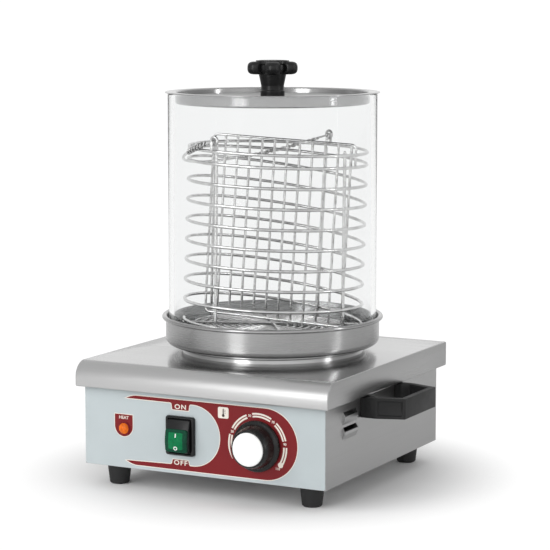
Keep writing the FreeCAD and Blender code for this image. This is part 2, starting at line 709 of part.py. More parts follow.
# ---- pan, glass, lid ------------------------------------------------------------------------
def steam_pan():
    bottom = PAN_Z
    wall_in = PAN_R - SHEET
    outside = arc_points(PAN_R - PAN_CORNER, bottom + PAN_CORNER, PAN_CORNER, -90, 0)
    inner_r = PAN_CORNER - SHEET
    inside = arc_points(PAN_R - PAN_CORNER, bottom + PAN_CORNER, inner_r, 0, -90)
    bead = arc_points(PAN_R + RIM_BEAD - 0.4, PAN_RIM_Z - RIM_BEAD, RIM_BEAD, -140, 90, 12)
    outline = ([(0, bottom)] + outside + [(PAN_R, PAN_RIM_Z - RIM_BEAD - 1.4)] + bead
               + [(wall_in + 0.9, PAN_RIM_Z), (wall_in, PAN_RIM_Z - 0.9)] + inside + [(0, bottom + SHEET)])
    pan = revolved(outline)
    holes = [cyl(STEAM_HOLE_R, 10, Vector(0, AXIS_Y, bottom - 4))]
    for k in range(12):
        at = polar(STEAM_RING_R, 30 * k, bottom - 4) + Vector(0, AXIS_Y, 0)
        holes.append(cyl(STEAM_RING_HOLE_R, 10, at))
    return pan.cut(Part.makeCompound(holes))


def glass_cylinder():
    inner = GLASS_R - GLASS_T
    low = GLASS_Z
    high = GLASS_Z + GLASS_H
    foot_arc = arc_points(GLASS_R - 3.0, low + 3.0, 3.0, -90, 0)
    top_arc = arc_points(GLASS_R - 1.5, high - 1.5, 1.5, 0, 90, 4)
    mouth = arc_points(inner + 1.5, high - 1.5, 1.5, 90, 180, 4)
    return revolved([(inner + 0.6, low)] + foot_arc + top_arc + mouth + [(inner, low + 0.6)])


def lid_cover():
    """Pressed lid: flange on the glass, a drum inside it, and a shallow floor under the knob."""
    t = LID_T
    drum = LID_DRUM_R
    low = LID_Z - LID_DRUM_H
    well = LID_WELL_R
    lip = LID_FLANGE_R
    floor = LID_FLOOR_Z
    outline = [(0, floor - t), (well - t, floor - t), (well - t, low + 1.0), (well - t + 1.0, low),
               (drum - 1.2, low), (drum, low + 1.2), (drum, LID_Z - 0.6), (drum + 0.6, LID_Z),
               (lip - 1.0, LID_Z), (lip, LID_Z - 0.7), (lip, LID_Z + 0.2), (lip - 0.8, LID_Z + t),
               (drum - 0.4, LID_Z + t), (drum - t, LID_Z - 0.2), (drum - t, low + 1.6), (drum - 1.6, low + t),
               (well + 1.0, low + t), (well, low + 1.6), (well, floor - 0.6), (well - 0.6, floor), (0, floor)]
    return revolved(outline).cut(cyl(3.2, 20, Vector(0, AXIS_Y, floor - 10)))


def lid_knob():
    """Five-lobed star grip on a tapered neck."""
    base = LID_FLOOR_Z
    neck_top = KNOB_TOP - 12.8
    stem = revolved([(0, base), (10.4, base), (11.6, base + 1.2), (11.6, base + 5.2), (11.0, base + 6.0),
                     (11.0, base + 11.0), (13.0, neck_top), (13.0, neck_top + 6), (0, neck_top + 6)])
    head_mid = KNOB_TOP - 7.0
    half_h = 6.1
    lobe_r = 7.4
    reach = KNOB_R - lobe_r
    pieces = [cyl(16.5, 2 * half_h, Vector(0, 0, -half_h))]
    for k in range(5):
        at = polar(reach, 72 * k + LEAN_TOWARDS - 90)
        lobe = cyl(lobe_r, 2 * half_h, Vector(at.x, at.y, -half_h))
        arm = box(0, reach, -6.0, 6.0, -half_h, half_h)
        arm.rotate(Vector(0, 0, 0), Vector(0, 0, 1), 72 * k + LEAN_TOWARDS - 90)
        pieces += [lobe, arm]
    head = fused(pieces)
    rims = [e for e in head.Edges if e.BoundBox.ZLength < 0.01]
    head = head.makeFillet(2.6, rims)
    head.translate(Vector(0, AXIS_Y, head_mid))
    disc = cyl(16.0, 1.2, Vector(0, AXIS_Y, KNOB_TOP - 1.2))
    disc = disc.makeFillet(0.4, [e for e in disc.Edges if e.BoundBox.ZMin > KNOB_TOP - 0.1])
    bore = cyl(3.0, 16, Vector(0, AXIS_Y, base - 1))
    return fused([stem, head, disc]).cut(bore)


def lid_screw():
    floor = LID_FLOOR_Z
    shank = cyl(2.98, 15 + LID_T, Vector(0, AXIS_Y, floor - LID_T - 1.2))
    washer = cyl(8.0, 1.2, Vector(0, AXIS_Y, floor - LID_T - 1.2))
    head = cyl(5.0, 3.0, Vector(0, AXIS_Y, floor - LID_T - 4.2))
    head = head.makeFillet(1.2, [e for e in head.Edges if e.BoundBox.ZMax < floor - LID_T - 4.0])
    return fused([shank, washer, head])


# ---- basket -------------------------------------------------------------------------------
def lean_axis():
    return polar(1.0, LEAN_TOWARDS + 90)


def basket_placement():
    return Placement(Vector(0, AXIS_Y, BASKET_Z), Rotation(lean_axis(), LEAN))


def in_place(shape):
    """From the basket's own frame to the machine's."""
    shape.Placement = basket_placement().multiply(shape.Placement)
    return shape


def front_half(z):
    """Level half turn on the near side."""
    a = LEAN_TOWARDS
    return Part.Arc(polar(COIL_R, a - 180, z), polar(COIL_R, a - 90, z), polar(COIL_R, a, z)).toShape()


def back_half(z0, z1):
    """Half turn on the far side, climbing from z0 to z1."""
    a = LEAN_TOWARDS
    start = polar(COIL_R, a, z0)
    end = polar(COIL_R, a + 180, z1)
    reach = (end - start).Length / 2
    return Part.Arc(start, polar(reach, a + 90, (z0 + z1) / 2), end).toShape()


def basket_coil():
    """One wire: a level front half and a climbing back half in each turn."""
    edges = []
    for k in range(TURNS):
        edges.append(front_half(k * PITCH))
        edges.append(back_half(k * PITCH, (k + 1) * PITCH))
    edges.append(front_half(TURNS * PITCH))
    edges.append(back_half(TURNS * PITCH, TOP_RING_Z - 2 * COIL_WIRE - 0.1))
    return in_place(swept(edges, COIL_WIRE))


def basket_top_ring():
    return in_place(Part.makeTorus(COIL_R, COIL_WIRE, Vector(0, 0, TOP_RING_Z)))


def foot_height(degrees):
    """Local height at which an upright meets the pan floor."""
    lean = math.radians(LEAN)
    slope = UPRIGHT_R * math.cos(math.radians(degrees - LEAN_TOWARDS)) * math.sin(lean)
    return (GLASS_Z + 0.3 - BASKET_Z + slope) / math.cos(lean)


def upright(low_deg, high_deg, hooked):
    """Upright wire from the pan floor to the top ring; two of them curl over into hooks."""
    low = polar(UPRIGHT_R, low_deg, foot_height(low_deg))
    if not hooked:
        high = polar(UPRIGHT_R, high_deg, TOP_RING_Z + 2.5)
        return swept([Part.makeLine(low, high)], COIL_WIRE)
    high = polar(UPRIGHT_R, high_deg, HOOK_Z)
    out = polar(1.0, high_deg)
    along = (high - low).normalize()
    apex = high + out * HOOK_R + along * HOOK_R
    far = high + out * (2 * HOOK_R)
    tip = far - along * HOOK_TIP
    curl = Part.Arc(high, apex, far).toShape()
    return swept([Part.makeLine(low, high), curl, Part.makeLine(far, tip)], COIL_WIRE)


def basket_uprights():
    return in_place(Part.makeCompound([upright(*spec) for spec in UPRIGHTS]))


def divider_point(s, z):
    """Point of the divider panel: s along it, z up, with its small slant."""
    along = polar(1.0, DIVIDER_DEG)
    across = polar(1.0, DIVIDER_DEG + 90)
    shift = DIVIDER_SLANT * (z / DIVIDER_TOP - 0.5)
    return along * (s + shift) + across * DIVIDER_OFFSET + Vector(0, 0, z)


def divider_frame():
    """Border wire: up the first rod, across the top and down to the last level turn."""
    first = ROD_FIRST
    last = COIL_R - 5.2
    points = [divider_point(last - 7, DIVIDER_BOTTOM), divider_point(first, DIVIDER_BOTTOM),
              divider_point(first, DIVIDER_TOP), divider_point(last, DIVIDER_TOP),
              divider_point(last, TURNS * PITCH + 2.0)]
    return in_place(bent_wire(points, 5.0, ROD_WIRE))


def divider_rods():
    rods = []
    for k in range(1, DIVIDER_RODS):
        s = ROD_FIRST + ROD_GAP * k
        low = divider_point(s, DIVIDER_BOTTOM + ROD_WIRE)
        high = divider_point(s, DIVIDER_TOP - ROD_WIRE)
        rods.append(swept([Part.makeLine(low, high)], ROD_WIRE))
    return in_place(Part.makeCompound(rods))


def basket_floor():
    """Flat spiral of thinner wire, wound in half circles."""
    z = -COIL_WIRE - 2 * ROD_WIRE - FLOOR_WIRE
    edges = []
    radius = 76.0
    centre = 0.0
    side = 1
    while radius > 10:
        start = Vector(centre + side * radius, 0, z)
        middle = Vector(centre, side * radius, z)
        end = Vector(centre - side * radius, 0, z)
        edges.append(Part.Arc(start, middle, end).toShape())
        centre -= side * FLOOR_STEP / 2
        radius -= FLOOR_STEP / 2
        side = -side
    return in_place(swept(edges, FLOOR_WIRE))


def floor_bars():
    """Two crossed wires under the base ring that carry the spiral."""
    z = -COIL_WIRE - ROD_WIRE
    bars = []
    for degrees in (35.0, 125.0):
        ends = [polar(COIL_R, degrees, z), polar(COIL_R, degrees + 180, z)]
        bars.append(swept([Part.makeLine(ends[0], ends[1])], ROD_WIRE))
    return in_place(fused(bars))


def hook_apex(index):
    low_deg, high_deg, _ = UPRIGHTS[index]
    low = polar(UPRIGHT_R, low_deg, foot_height(low_deg))
    high = polar(UPRIGHT_R, high_deg, HOOK_Z)
    along = (high - low).normalize()
    return high + polar(HOOK_R, high_deg) + along * HOOK_R


def bail_frame():
    """Middle of the two hooks, direction from front to rear hook, folded direction, half span."""
    a = hook_apex(0)
    b = hook_apex(2)
    axis = (b - a).normalize()
    level = Vector(0, 0, 1).cross(axis).normalize()
    out = Rotation(axis, -BAIL_DROP).multVec(level)
    return (a + b) / 2, axis, out, (b - a).Length / 2


def bail_point(degrees, lift=0.0):
    """Point of the bail's arc, in degrees from its far end; lift is square to its plane, upwards."""
    middle, axis, out, half = bail_frame()
    rise = BAIL_R - BAIL_LOOP
    radius = (half ** 2 + rise ** 2) / (2 * rise)
    centre = middle + out * (BAIL_R - radius) + axis.cross(out) * lift
    a = math.radians(degrees)
    return centre + out * (radius * math.cos(a)) + axis * (radius * math.sin(a))


def bail_handle():
    """Half-round bail with an eye at each end, hanging outside the winding."""
    middle, axis, out, half = bail_frame()
    start = middle - axis * half + out * BAIL_LOOP
    stop = middle + axis * half + out * BAIL_LOOP
    arc = swept([Part.Arc(start, bail_point(0.0), stop).toShape()], BAIL_WIRE)
    eyes = [Part.makeTorus(BAIL_LOOP, BAIL_WIRE, middle + axis * side, axis) for side in (-half, half)]
    return in_place(fused([arc] + eyes))


def bail_tails():
    """Ends of the bail wire laid back along it: long at the rear hook, short at the front one."""
    lift = BAIL_WIRE + TAIL_WIRE + 0.05
    tails = []
    for start, stop in ((26.0, 80.0), (-80.0, -62.0)):
        points = [bail_point(a, lift) for a in (start, (start + stop) / 2, stop)]
        tails.append(swept([Part.Arc(*points).toShape()], TAIL_WIRE))
    return in_place(Part.makeCompound(tails))


def main():
    os.makedirs("parts", exist_ok=True)
    save("top_plate", top_plate())
    save("body_shell", body_shell())
    save("front_overlay", front_overlay())
    save("back_panel", back_panel())
    save("bottom_plate", bottom_plate())
    for name, (x, y) in zip(("foot_front_left", "foot_rear_left", "foot_front_right", "foot_rear_right"),
                            foot_places()):
        save(name, foot(x, y))
    save("foot_screws", foot_screws())
    save("casing_screws", casing_screws())
    right = side_handle()
    save("handle_right", right)
    save("handle_left", mirrored(right))
    save("handle_screws", handle_screws())
    save("switch_bezel", switch_bezel())
    save("switch_body", switch_body())
    save("switch_rocker", switch_rocker())
    save("switch_lens", switch_lens())
    save("rocker_pin", rocker_pin())
    save("lamp_lens", lamp_lens())
    save("lamp_holder", lamp_holder())
    save("thermostat_knob", thermostat_knob())
    save("knob_cap", knob_cap())
    save("thermostat_shaft", thermostat_shaft())
    save("thermostat_body", thermostat_body())
    save("tank_probe", tank_probe())
    save("water_tank", water_tank())
    save("heat_spreader", heat_spreader())
    save("heating_element", heating_element())
    save("heater_clamp", heater_clamp())
    save("terminal_block", terminal_block())
    save("wiring", wiring())
    save("cable_gland", cable_gland())
    save("gland_nut", gland_nut())
    save("gland_locknut", gland_locknut())
    save("earth_stud", earth_stud())
    save("steam_pan", steam_pan())
    save("glass_cylinder", glass_cylinder())
    save("lid_cover", lid_cover())
    save("lid_knob", lid_knob())
    save("lid_screw", lid_screw())
    save("basket_coil", basket_coil())
    save("basket_top_ring", basket_top_ring())
    save("basket_uprights", basket_uprights())
    save("divider_frame", divider_frame())
    save("divider_rods", divider_rods())
    save("basket_floor", basket_floor())
    save("floor_bars", floor_bars())
    save("bail_handle", bail_handle())
    save("bail_tails", bail_tails())
    for name, index in (("front hook", 0), ("rear hook", 2)):
        at = basket_placement().multVec(hook_apex(index))
        print(name, round(at.x, 3), round(at.y, 3), round(at.z, 3))


main()
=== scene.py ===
import math

import bmesh
import bpy
from mathutils import Matrix, Vector


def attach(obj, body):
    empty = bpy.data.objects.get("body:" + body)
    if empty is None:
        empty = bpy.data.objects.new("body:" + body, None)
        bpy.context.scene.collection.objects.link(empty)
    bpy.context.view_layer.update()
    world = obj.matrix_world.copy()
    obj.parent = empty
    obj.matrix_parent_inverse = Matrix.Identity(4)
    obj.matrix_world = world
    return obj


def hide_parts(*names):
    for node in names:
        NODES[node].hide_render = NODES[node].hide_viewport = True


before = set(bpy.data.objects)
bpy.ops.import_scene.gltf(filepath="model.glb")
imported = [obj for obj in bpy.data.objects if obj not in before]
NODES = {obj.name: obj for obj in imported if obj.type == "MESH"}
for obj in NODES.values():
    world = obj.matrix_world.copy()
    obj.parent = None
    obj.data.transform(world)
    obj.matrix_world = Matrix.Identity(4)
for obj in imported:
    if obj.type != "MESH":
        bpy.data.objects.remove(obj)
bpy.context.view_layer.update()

# Lengths are millimetres in the row frame; MM turns them into metres when a mesh is made.
MM = 0.001

PANEL_Y = -126.0
AXIS_Y = 14.0
PLATE_HALF_X, PLATE_HALF_Y = 132.0, 133.5
PLATE_TOP = 118.5
PLATE_BEND = 15.0
SKIRT_BOTTOM = 94.8
PAN_Z = 125.5
PAN_R = 103.0
PAN_RIM_Z = 153.5
GLASS_Z = 126.5
GLASS_R = 100.0
GLASS_T = 5.0
GLASS_TOP = 366.5
LID_FLOOR_Z = GLASS_TOP - 3.8
KNOB_TOP = 397.0
DIAL_X, DIAL_Z = 57.7, 55.0
SWITCH_X, SWITCH_Z = -21.8, 56.7
LAMP_X, LAMP_Z = -83.0, 57.8

BASKET_Z = 148.0
LEAN = math.radians(1.9)
LEAN_TOWARDS = 27.5
COIL_R = 85.5
WIRE = 1.5
ROD = 1.25
PITCH = 19.1
TURNS = 8
TOP_RING_Z = 164.4
UPRIGHT_R = 82.5
UPRIGHT_TOP = TOP_RING_Z + 2.5
DIVIDER_TOP = 173.0


# ---- node materials -------------------------------------------------------------------------
class Nodes:
    """Short calls for the nodes and links of one node tree."""

    def __init__(self, tree):
        self.tree = tree
        tree.nodes.clear()

    def node(self, kind, **settings):
        made = self.tree.nodes.new("ShaderNode" + kind)
        for key, value in settings.items():
            setattr(made, key, value)
        return made

    def link(self, source, target):
        self.tree.links.new(source, target)

    def math(self, op, *values):
        """Math node fed by numbers or sockets."""
        made = self.node("Math", operation=op)
        for socket, value in zip(made.inputs, values):
            if isinstance(value, (int, float)):
                socket.default_value = value
            else:
                self.link(value, socket)
        return made.outputs[0]

    def spread(self, value, low, high, out_low=0.0, out_high=1.0, curve="LINEAR"):
        """Map a value from one range to another."""
        made = self.node("MapRange", interpolation_type=curve)
        ends = {"From Min": low, "From Max": high, "To Min": out_low, "To Max": out_high}
        for name, number in ends.items():
            made.inputs[name].default_value = number
        self.link(value, made.inputs["Value"])
        return made.outputs[0]

    def ramp(self, value, stops):
        made = self.node("ValToRGB")
        elements = made.color_ramp.elements
        while len(elements) < len(stops):
            elements.new(0.5)
        for element, (at, colour) in zip(elements, stops):
            element.position = at
            element.color = (*colour, 1.0)
        self.link(value, made.inputs["Fac"])
        return made.outputs["Color"]

    def white_light(self, kind):
        made = self.node(kind)
        made.inputs["Color"].default_value = (1.0, 1.0, 1.0, 1.0)
        made.inputs["Strength"].default_value = 1.05
        return made.outputs[0]

    def mix_shaders(self, share, plain, other):
        mix = self.node("MixShader")
        for socket, source in zip(mix.inputs, (share, plain, other)):
            self.link(source, socket)
        return mix.outputs[0]

    def seen(self):
        """1 on camera rays and on rays that have come through glass."""
        path = self.node("LightPath")
        return self.math("MAXIMUM", path.outputs["Is Camera Ray"], path.outputs["Is Transmission Ray"])


class Graph(Nodes):
    """One node material with a principled surface."""

    def __init__(self, name, base, rough, metal=0.0, **sockets):
        self.mat = bpy.data.materials.new(name)
        self.mat.use_nodes = True
        super().__init__(self.mat.node_tree)
        self.out = self.node("OutputMaterial")
        self.bsdf = self.node("BsdfPrincipled")
        self.link(self.bsdf.outputs[0], self.out.inputs["Surface"])
        values = {"Base_Color": (*base, 1.0), "Roughness": rough, "Metallic": metal, **sockets}
        for key, value in values.items():
            self.bsdf.inputs[key.replace("_", " ")].default_value = value

    def coords(self, scale):
        """Object coordinates in metres, scaled along each axis."""
        mapping = self.node("Mapping")
        mapping.inputs["Scale"].default_value = scale
        self.link(self.node("TexCoord").outputs["Object"], mapping.inputs["Vector"])
        return mapping.outputs[0]

    def turned_coords(self, fine, around):
        """Coordinates that change fast with radius and height and slowly round the axis."""
        split = self.node("SeparateXYZ")
        self.link(self.node("TexCoord").outputs["Object"], split.inputs[0])
        x, z = split.outputs[0], split.outputs[2]
        y = self.math("SUBTRACT", split.outputs[1], AXIS_Y * MM)
        radius = self.math("SQRT", self.math("ADD", self.math("MULTIPLY", x, x), self.math("MULTIPLY", y, y)))
        turn = self.math("COSINE", self.math("ARCTAN2", y, x))
        joined = self.node("CombineXYZ")
        for socket, value, scale in zip(joined.inputs, (radius, z, turn), (fine, fine, around)):
            self.link(self.math("MULTIPLY", value, scale), socket)
        return joined.outputs[0]

    def noise(self, vector, detail, rough):
        made = self.node("TexNoise")
        for name, number in (("Scale", 1.0), ("Detail", detail), ("Roughness", rough)):
            made.inputs[name].default_value = number
        self.link(vector, made.inputs["Vector"])
        return made.outputs["Fac"]

    def grain(self, scale, detail, rough):
        """Noise over object coordinates, with one scale or one for each axis."""
        each = scale if isinstance(scale, (tuple, list)) else (scale, scale, scale)
        return self.noise(self.coords(each), detail, rough)

    def weigh(self, first, second, share):
        return self.math("ADD", self.math("MULTIPLY", first, share), self.math("MULTIPLY", second, 1 - share))

    def bump(self, height, strength, distance):
        made = self.node("Bump")
        made.inputs["Strength"].default_value = strength
        made.inputs["Distance"].default_value = distance
        self.link(height, made.inputs["Height"])
        self.link(made.outputs[0], self.bsdf.inputs["Normal"])

    def colour(self, value, low, high, dark, light, socket="Base Color"):
        """Colour that runs from dark to light as the value runs from low to high."""
        self.link(self.ramp(value, [(low, dark), (high, light)]), self.bsdf.inputs[socket])

    def roughness(self, socket):
        self.link(socket, self.bsdf.inputs["Roughness"])


def grey(value, warm=0.0):
    return (value + warm, value, value - warm)


def scaled(colour, factor):
    return [min(1.0, c * factor) for c in colour]


def brushed_sheet(name, tone, scale, rough=0.3, streak=0.035):
    """Sheet steel with straight grain; the axis with the smallest scale is the grain."""
    g = Graph(name, grey(tone), rough, 1.0)
    grain = g.grain(scale, 4.0, 0.6)
    wide = g.grain([s * 0.08 for s in scale], 2.0, 0.5)
    cloud = g.grain(9, 2.0, 0.5)
    mixed = g.weigh(grain, wide, 0.6)
    g.colour(mixed, 0.25, 0.75, grey(tone - streak), grey(tone + streak))
    g.roughness(g.math("ADD", g.spread(mixed, 0.3, 0.7, rough - 0.06, rough + 0.08),
                       g.spread(cloud, 0.3, 0.7, -0.03, 0.03)))
    g.bump(grain, 0.12, 0.00006)
    return g.mat


def brushed_round(name, tone, rough=0.26):
    """Spun steel with its grain running round the vertical axis."""
    streak = 0.009
    g = Graph(name, grey(tone), rough, 1.0, Anisotropic=0.88, Anisotropic_Rotation=0.25)
    tangent = g.node("Tangent", direction_type="RADIAL", axis="Z")
    g.link(tangent.outputs[0], g.bsdf.inputs["Tangent"])
    fine = g.noise(g.turned_coords(3200.0, 2.0), 3.0, 0.6)
    mixed = g.weigh(fine, g.noise(g.turned_coords(420.0, 1.2), 2.0, 0.5), 0.55)
    g.colour(mixed, 0.25, 0.75, grey(tone - streak), grey(tone + streak))
    g.roughness(g.spread(mixed, 0.3, 0.7, rough - 0.02, rough + 0.03))
    g.bump(fine, 0.04, 0.00005)
    return g.mat


def moulded_plastic(name, colour, rough=0.38, grain=2600.0, depth=0.18, coat=0.0):
    """Injection-moulded plastic: fine sparkle grain, slow gloss variation, faint handling marks."""
    g = Graph(name, colour, rough, Specular_IOR_Level=0.35, Coat_Weight=coat, Coat_Roughness=0.12)
    slow = g.grain(60, 3.0, 0.55)
    g.colour(slow, 0.3, 0.7, scaled(colour, 0.8), [min(1.0, c * 1.25 + 0.001) for c in colour])
    g.roughness(g.spread(slow, 0.3, 0.7, rough - 0.06, rough + 0.07))
    g.bump(g.grain(grain, 2.0, 0.5), depth, 0.00005)
    return g.mat


def rubber(name):
    g = Graph(name, (0.018, 0.018, 0.019), 0.62)
    height = g.grain((25, 25, 260), 2.0, 0.5)
    g.colour(height, 0.3, 0.7, (0.006, 0.006, 0.0065), (0.016, 0.016, 0.0165))
    g.roughness(g.spread(height, 0.3, 0.7, 0.5, 0.72))
    g.bump(g.grain(1500, 3.0, 0.6), 0.25, 0.0001)
    return g.mat


def drawn_wire(name, tone, rough):
    """Drawn and electropolished wire: soft die lines and slightly darker patches."""
    g = Graph(name, grey(tone), rough, 1.0)
    lines = g.grain(900, 2.0, 0.5)
    g.colour(g.grain(55, 3.0, 0.6), 0.3, 0.7, grey(tone - 0.12, 0.004), grey(tone + 0.08))
    g.roughness(g.spread(lines, 0.3, 0.7, rough - 0.05, rough + 0.09))
    g.bump(lines, 0.1, 0.00005)
    return g.mat


def printed(name, colour, rough=0.42):
    """Screen-printed ink on matt foil."""
    g = Graph(name, colour, rough, Specular_IOR_Level=0.25)
    fine = g.grain(2200, 2.0, 0.5)
    g.colour(g.grain(30, 2.0, 0.5), 0.3, 0.7, scaled(colour, 0.975), scaled(colour, 1.02))
    g.roughness(g.spread(fine, 0.3, 0.7, rough - 0.05, rough + 0.06))
    g.bump(fine, 0.08, 0.00003)
    return g.mat


def clear_glass(name):
    g = Graph(name, (0.925, 0.93, 0.93), 0.0, IOR=1.11, Transmission_Weight=1.0)
    g.roughness(g.spread(g.grain((14, 14, 30), 3.0, 0.6), 0.35, 0.75, 0.0, 0.02))
    g.bump(g.grain((18, 18, 7), 1.0, 0.4), 0.05, 0.0004)
    return g.mat


def lens(name, colour, glow):
    """Tinted translucent plastic with a lit inside."""
    g = Graph(name, colour, 0.2, Specular_IOR_Level=0.15, Coat_Weight=0.06, Coat_Roughness=0.08,
              Emission_Strength=glow)
    cells = g.node("TexVoronoi")
    cells.inputs["Scale"].default_value = 420.0
    g.link(g.coords((1, 1, 1)), cells.inputs["Vector"])
    depth = cells.outputs["Distance"]
    g.colour(depth, 0.0, 0.8, scaled(colour, 1.12), scaled(colour, 0.85))
    g.colour(depth, 0.0, 0.7, scaled(colour, 1.3), scaled(colour, 0.5), "Emission Color")
    g.bump(depth, 0.15, 0.0003)
    return g.mat


ALONG_X, ALONG_Y = (14, 1900, 1900), (1900, 14, 1900)
STEEL_PLATE = brushed_sheet("steel_plate", 0.50, ALONG_X, 0.17, 0.025)
# Lighter, rougher copy of the plate steel for the plate's bullnose and front skirt: painted light on the
# front of the sheet.
STEEL_NOSE_PAINTED_LIGHT = brushed_sheet("steel_nose_painted_light", 0.60, ALONG_X, 0.40, 0.02)
STEEL_SIDE = brushed_sheet("steel_side", 0.46, ALONG_Y, 0.32)
STEEL_BACK = brushed_sheet("steel_back", 0.50, ALONG_X, 0.36)
STEEL_ROUND = brushed_round("steel_round", 0.43)
STEEL_RIM = brushed_round("steel_rim", 0.60, 0.30)
# Darker copy of the lid steel for the lid's recessed well: painted shade inside the recess.
STEEL_WELL_PAINTED_SHADE = brushed_round("steel_well_painted_shade", 0.33, 0.3)
STEEL_LID = brushed_round("steel_lid", 0.46, 0.22)
STEEL_PLAIN = brushed_sheet("steel_plain", 0.5, (600, 600, 600), 0.35)
WIRE_BRIGHT = drawn_wire("wire_bright", 0.62, 0.17)
WIRE_DULL = drawn_wire("wire_dull", 0.5, 0.25)
BLACK = moulded_plastic("plastic_black", (0.006, 0.006, 0.0065), 0.34, coat=0.08)
BLACK_SATIN = moulded_plastic("plastic_satin", (0.010, 0.010, 0.0105), 0.46, 1700.0, 0.2)
BLACK_DIAL = moulded_plastic("plastic_dial", (0.005, 0.0055, 0.0055), 0.26, coat=0.15)
RUBBER = rubber("rubber_foot")
FOIL = printed("foil_grey", (0.51, 0.565, 0.58))
INK_RED = printed("ink_red", (0.20, 0.010, 0.013), 0.4)
INK_CREAM = printed("ink_cream", (0.86, 0.80, 0.72), 0.45)
INK_WHITE = printed("ink_white", (0.9, 0.9, 0.89), 0.45)
INK_DARK = printed("ink_dark", (0.05, 0.03, 0.03), 0.45)
CAP = printed("cap_white", (0.93, 0.94, 0.93), 0.25)
GLASS = clear_glass("glass_clear")
LENS_GREEN = lens("lens_green", (0.001, 0.17, 0.058), 0.05)
LENS_RIM = lens("lens_rim", (0.002, 0.055, 0.028), 0.02)
LENS_AMBER = lens("lens_amber", (0.70, 0.14, 0.010), 0.18)
BRASS = brushed_sheet("brass_plain", 0.5, (500, 500, 500), 0.3)
COPPER = moulded_plastic("copper_tube", (0.55, 0.24, 0.12), 0.3)
CREAM_BLOCK = moulded_plastic("plastic_cream", (0.62, 0.58, 0.48), 0.5)
LEAD_RED = moulded_plastic("lead_sleeve", (0.42, 0.07, 0.04), 0.55)
SHEATH = brushed_sheet("heater_sheath", 0.16, (700, 700, 700), 0.5)
ALLOY = brushed_sheet("cast_alloy", 0.42, (350, 350, 350), 0.5)


# ---- mesh helpers ---------------------------------------------------------------------------
def slab_faces(n):
    """Faces of a prism between two n-sided outlines."""
    sides = [(k, n + k, n + (k + 1) % n, (k + 1) % n) for k in range(n)]
    return [tuple(range(n)), tuple(reversed(range(n, 2 * n)))] + sides


def ring_faces(rings, steps, closed=False):
    """Faces between successive rings of points, and from the last to the first if closed."""
    faces = []
    for i in range(rings if closed else rings - 1):
        a, b = i * steps, (i + 1) % rings * steps
        faces += [(a + k, a + (k + 1) % steps, b + (k + 1) % steps, b + k) for k in range(steps)]
    return faces


class Shape:
    """A growing list of vertices and faces, with one material index per face."""

    def __init__(self):
        self.verts = []
        self.faces = []
        self.index = []

    def add(self, verts, faces, material=0):
        first = len(self.verts)
        self.verts += [tuple(v) for v in verts]
        self.faces += [tuple(first + i for i in f) for f in faces]
        self.index += [material] * len(faces)

    def tube(self, points, radius, sides=12, closed=False):
        """Round wire along a list of points, with frames carried along it."""
        pts = [Vector(p) for p in points]
        n = len(pts)
        ahead = [(pts[(i + 1) % n] - pts[i - 1]) if closed or 0 < i < n - 1
                 else (pts[min(i + 1, n - 1)] - pts[max(i - 1, 0)]) for i in range(n)]
        ahead = [a.normalized() for a in ahead]
        side = ahead[0].orthogonal().normalized()
        radii = radius if isinstance(radius, list) else [radius] * n
        verts = []
        for i in range(n):
            if i:
                side = ahead[i - 1].rotation_difference(ahead[i]) @ side
            side = (side - ahead[i] * side.dot(ahead[i])).normalized()
            up = ahead[i].cross(side)
            for k in range(sides):
                a = 2 * math.pi * k / sides
                verts.append(pts[i] + (side * math.cos(a) + up * math.sin(a)) * radii[i])
        shift = 0
        if closed:
            first = verts[0] - pts[0]
            shift = max(range(sides), key=lambda k: (verts[(n - 1) * sides + k] - pts[n - 1]).dot(first))
        faces = []
        for i in range(n if closed else n - 1):
            j = (i + 1) % n
            s = shift if j == 0 else 0
            for k in range(sides):
                k2 = (k + 1) % sides
                faces.append((i * sides + (k + s) % sides, i * sides + (k2 + s) % sides,
                              j * sides + k2, j * sides + k))
        if not closed:
            faces.append(tuple(reversed(range(sides))))
            faces.append(tuple((n - 1) * sides + k for k in range(sides)))
        self.add(verts, faces)

    def lathe(self, outline, steps=128, place=None, material=0, closed=True):
        """Turn a (radius, height) outline about Z, then place it."""
        place = place or Matrix.Translation((0, AXIS_Y, 0))
        turns = circle(steps)
        rings = []
        verts = []
        for r, z in outline:
            around = [(0, 0, z)] if r < 1e-6 else [(r * math.cos(a), r * math.sin(a), z) for a in turns]
            rings.append(range(len(verts), len(verts) + len(around)))
            verts += [place @ Vector(p) for p in around]
        faces = []
        for a, b in zip(rings, rings[1:] + rings[:1] if closed else rings[1:]):
            if len(a) == 1 and len(b) == 1:
                continue
            for k in range(steps):
                k2 = (k + 1) % steps
                if len(a) == 1:
                    faces.append((a[0], b[k2], b[k]))
                elif len(b) == 1:
                    faces.append((a[k], a[k2], b[0]))
                else:
                    faces.append((a[k], a[k2], b[k2], b[k]))
        self.add(verts, faces, material)

    def stack(self, rings, low, high):
        """Rings joined one to the next, each end closed to a centre point."""
        steps = len(rings[0])
        verts = [p for ring in rings for p in ring] + [low, high]
        faces = ring_faces(len(rings), steps)
        last = (len(rings) - 1) * steps
        for k in range(steps):
            k2 = (k + 1) % steps
            faces += [(len(verts) - 2, k2, k), (len(verts) - 1, last + k, last + k2)]
        self.add(verts, faces)

    def slab(self, near, far):
        self.add(near + far, slab_faces(len(near)))

    def piece(self, name, body, slot, materials, replaces=(), sharp=35.0):
        finish(loose(self, name, materials), body, replaces, sharp)


def loose(shape, name, materials=()):
    """A mesh object with no body yet."""
    mesh = bpy.data.meshes.new(name)
    mesh.from_pydata([[c * MM for c in v] for v in shape.verts], [], shape.faces)
    mesh.polygons.foreach_set("material_index", shape.index)
    for material in materials:
        mesh.materials.append(material)
    work = bmesh.new()
    work.from_mesh(mesh)
    bmesh.ops.remove_doubles(work, verts=work.verts, dist=2e-7)
    bmesh.ops.recalc_face_normals(work, faces=work.faces)
    work.to_mesh(mesh)
    work.free()
    return add_object(name, mesh)


def add_object(name, data):
    obj = bpy.data.objects.new(name, data)
    bpy.context.scene.collection.objects.link(obj)
    return obj


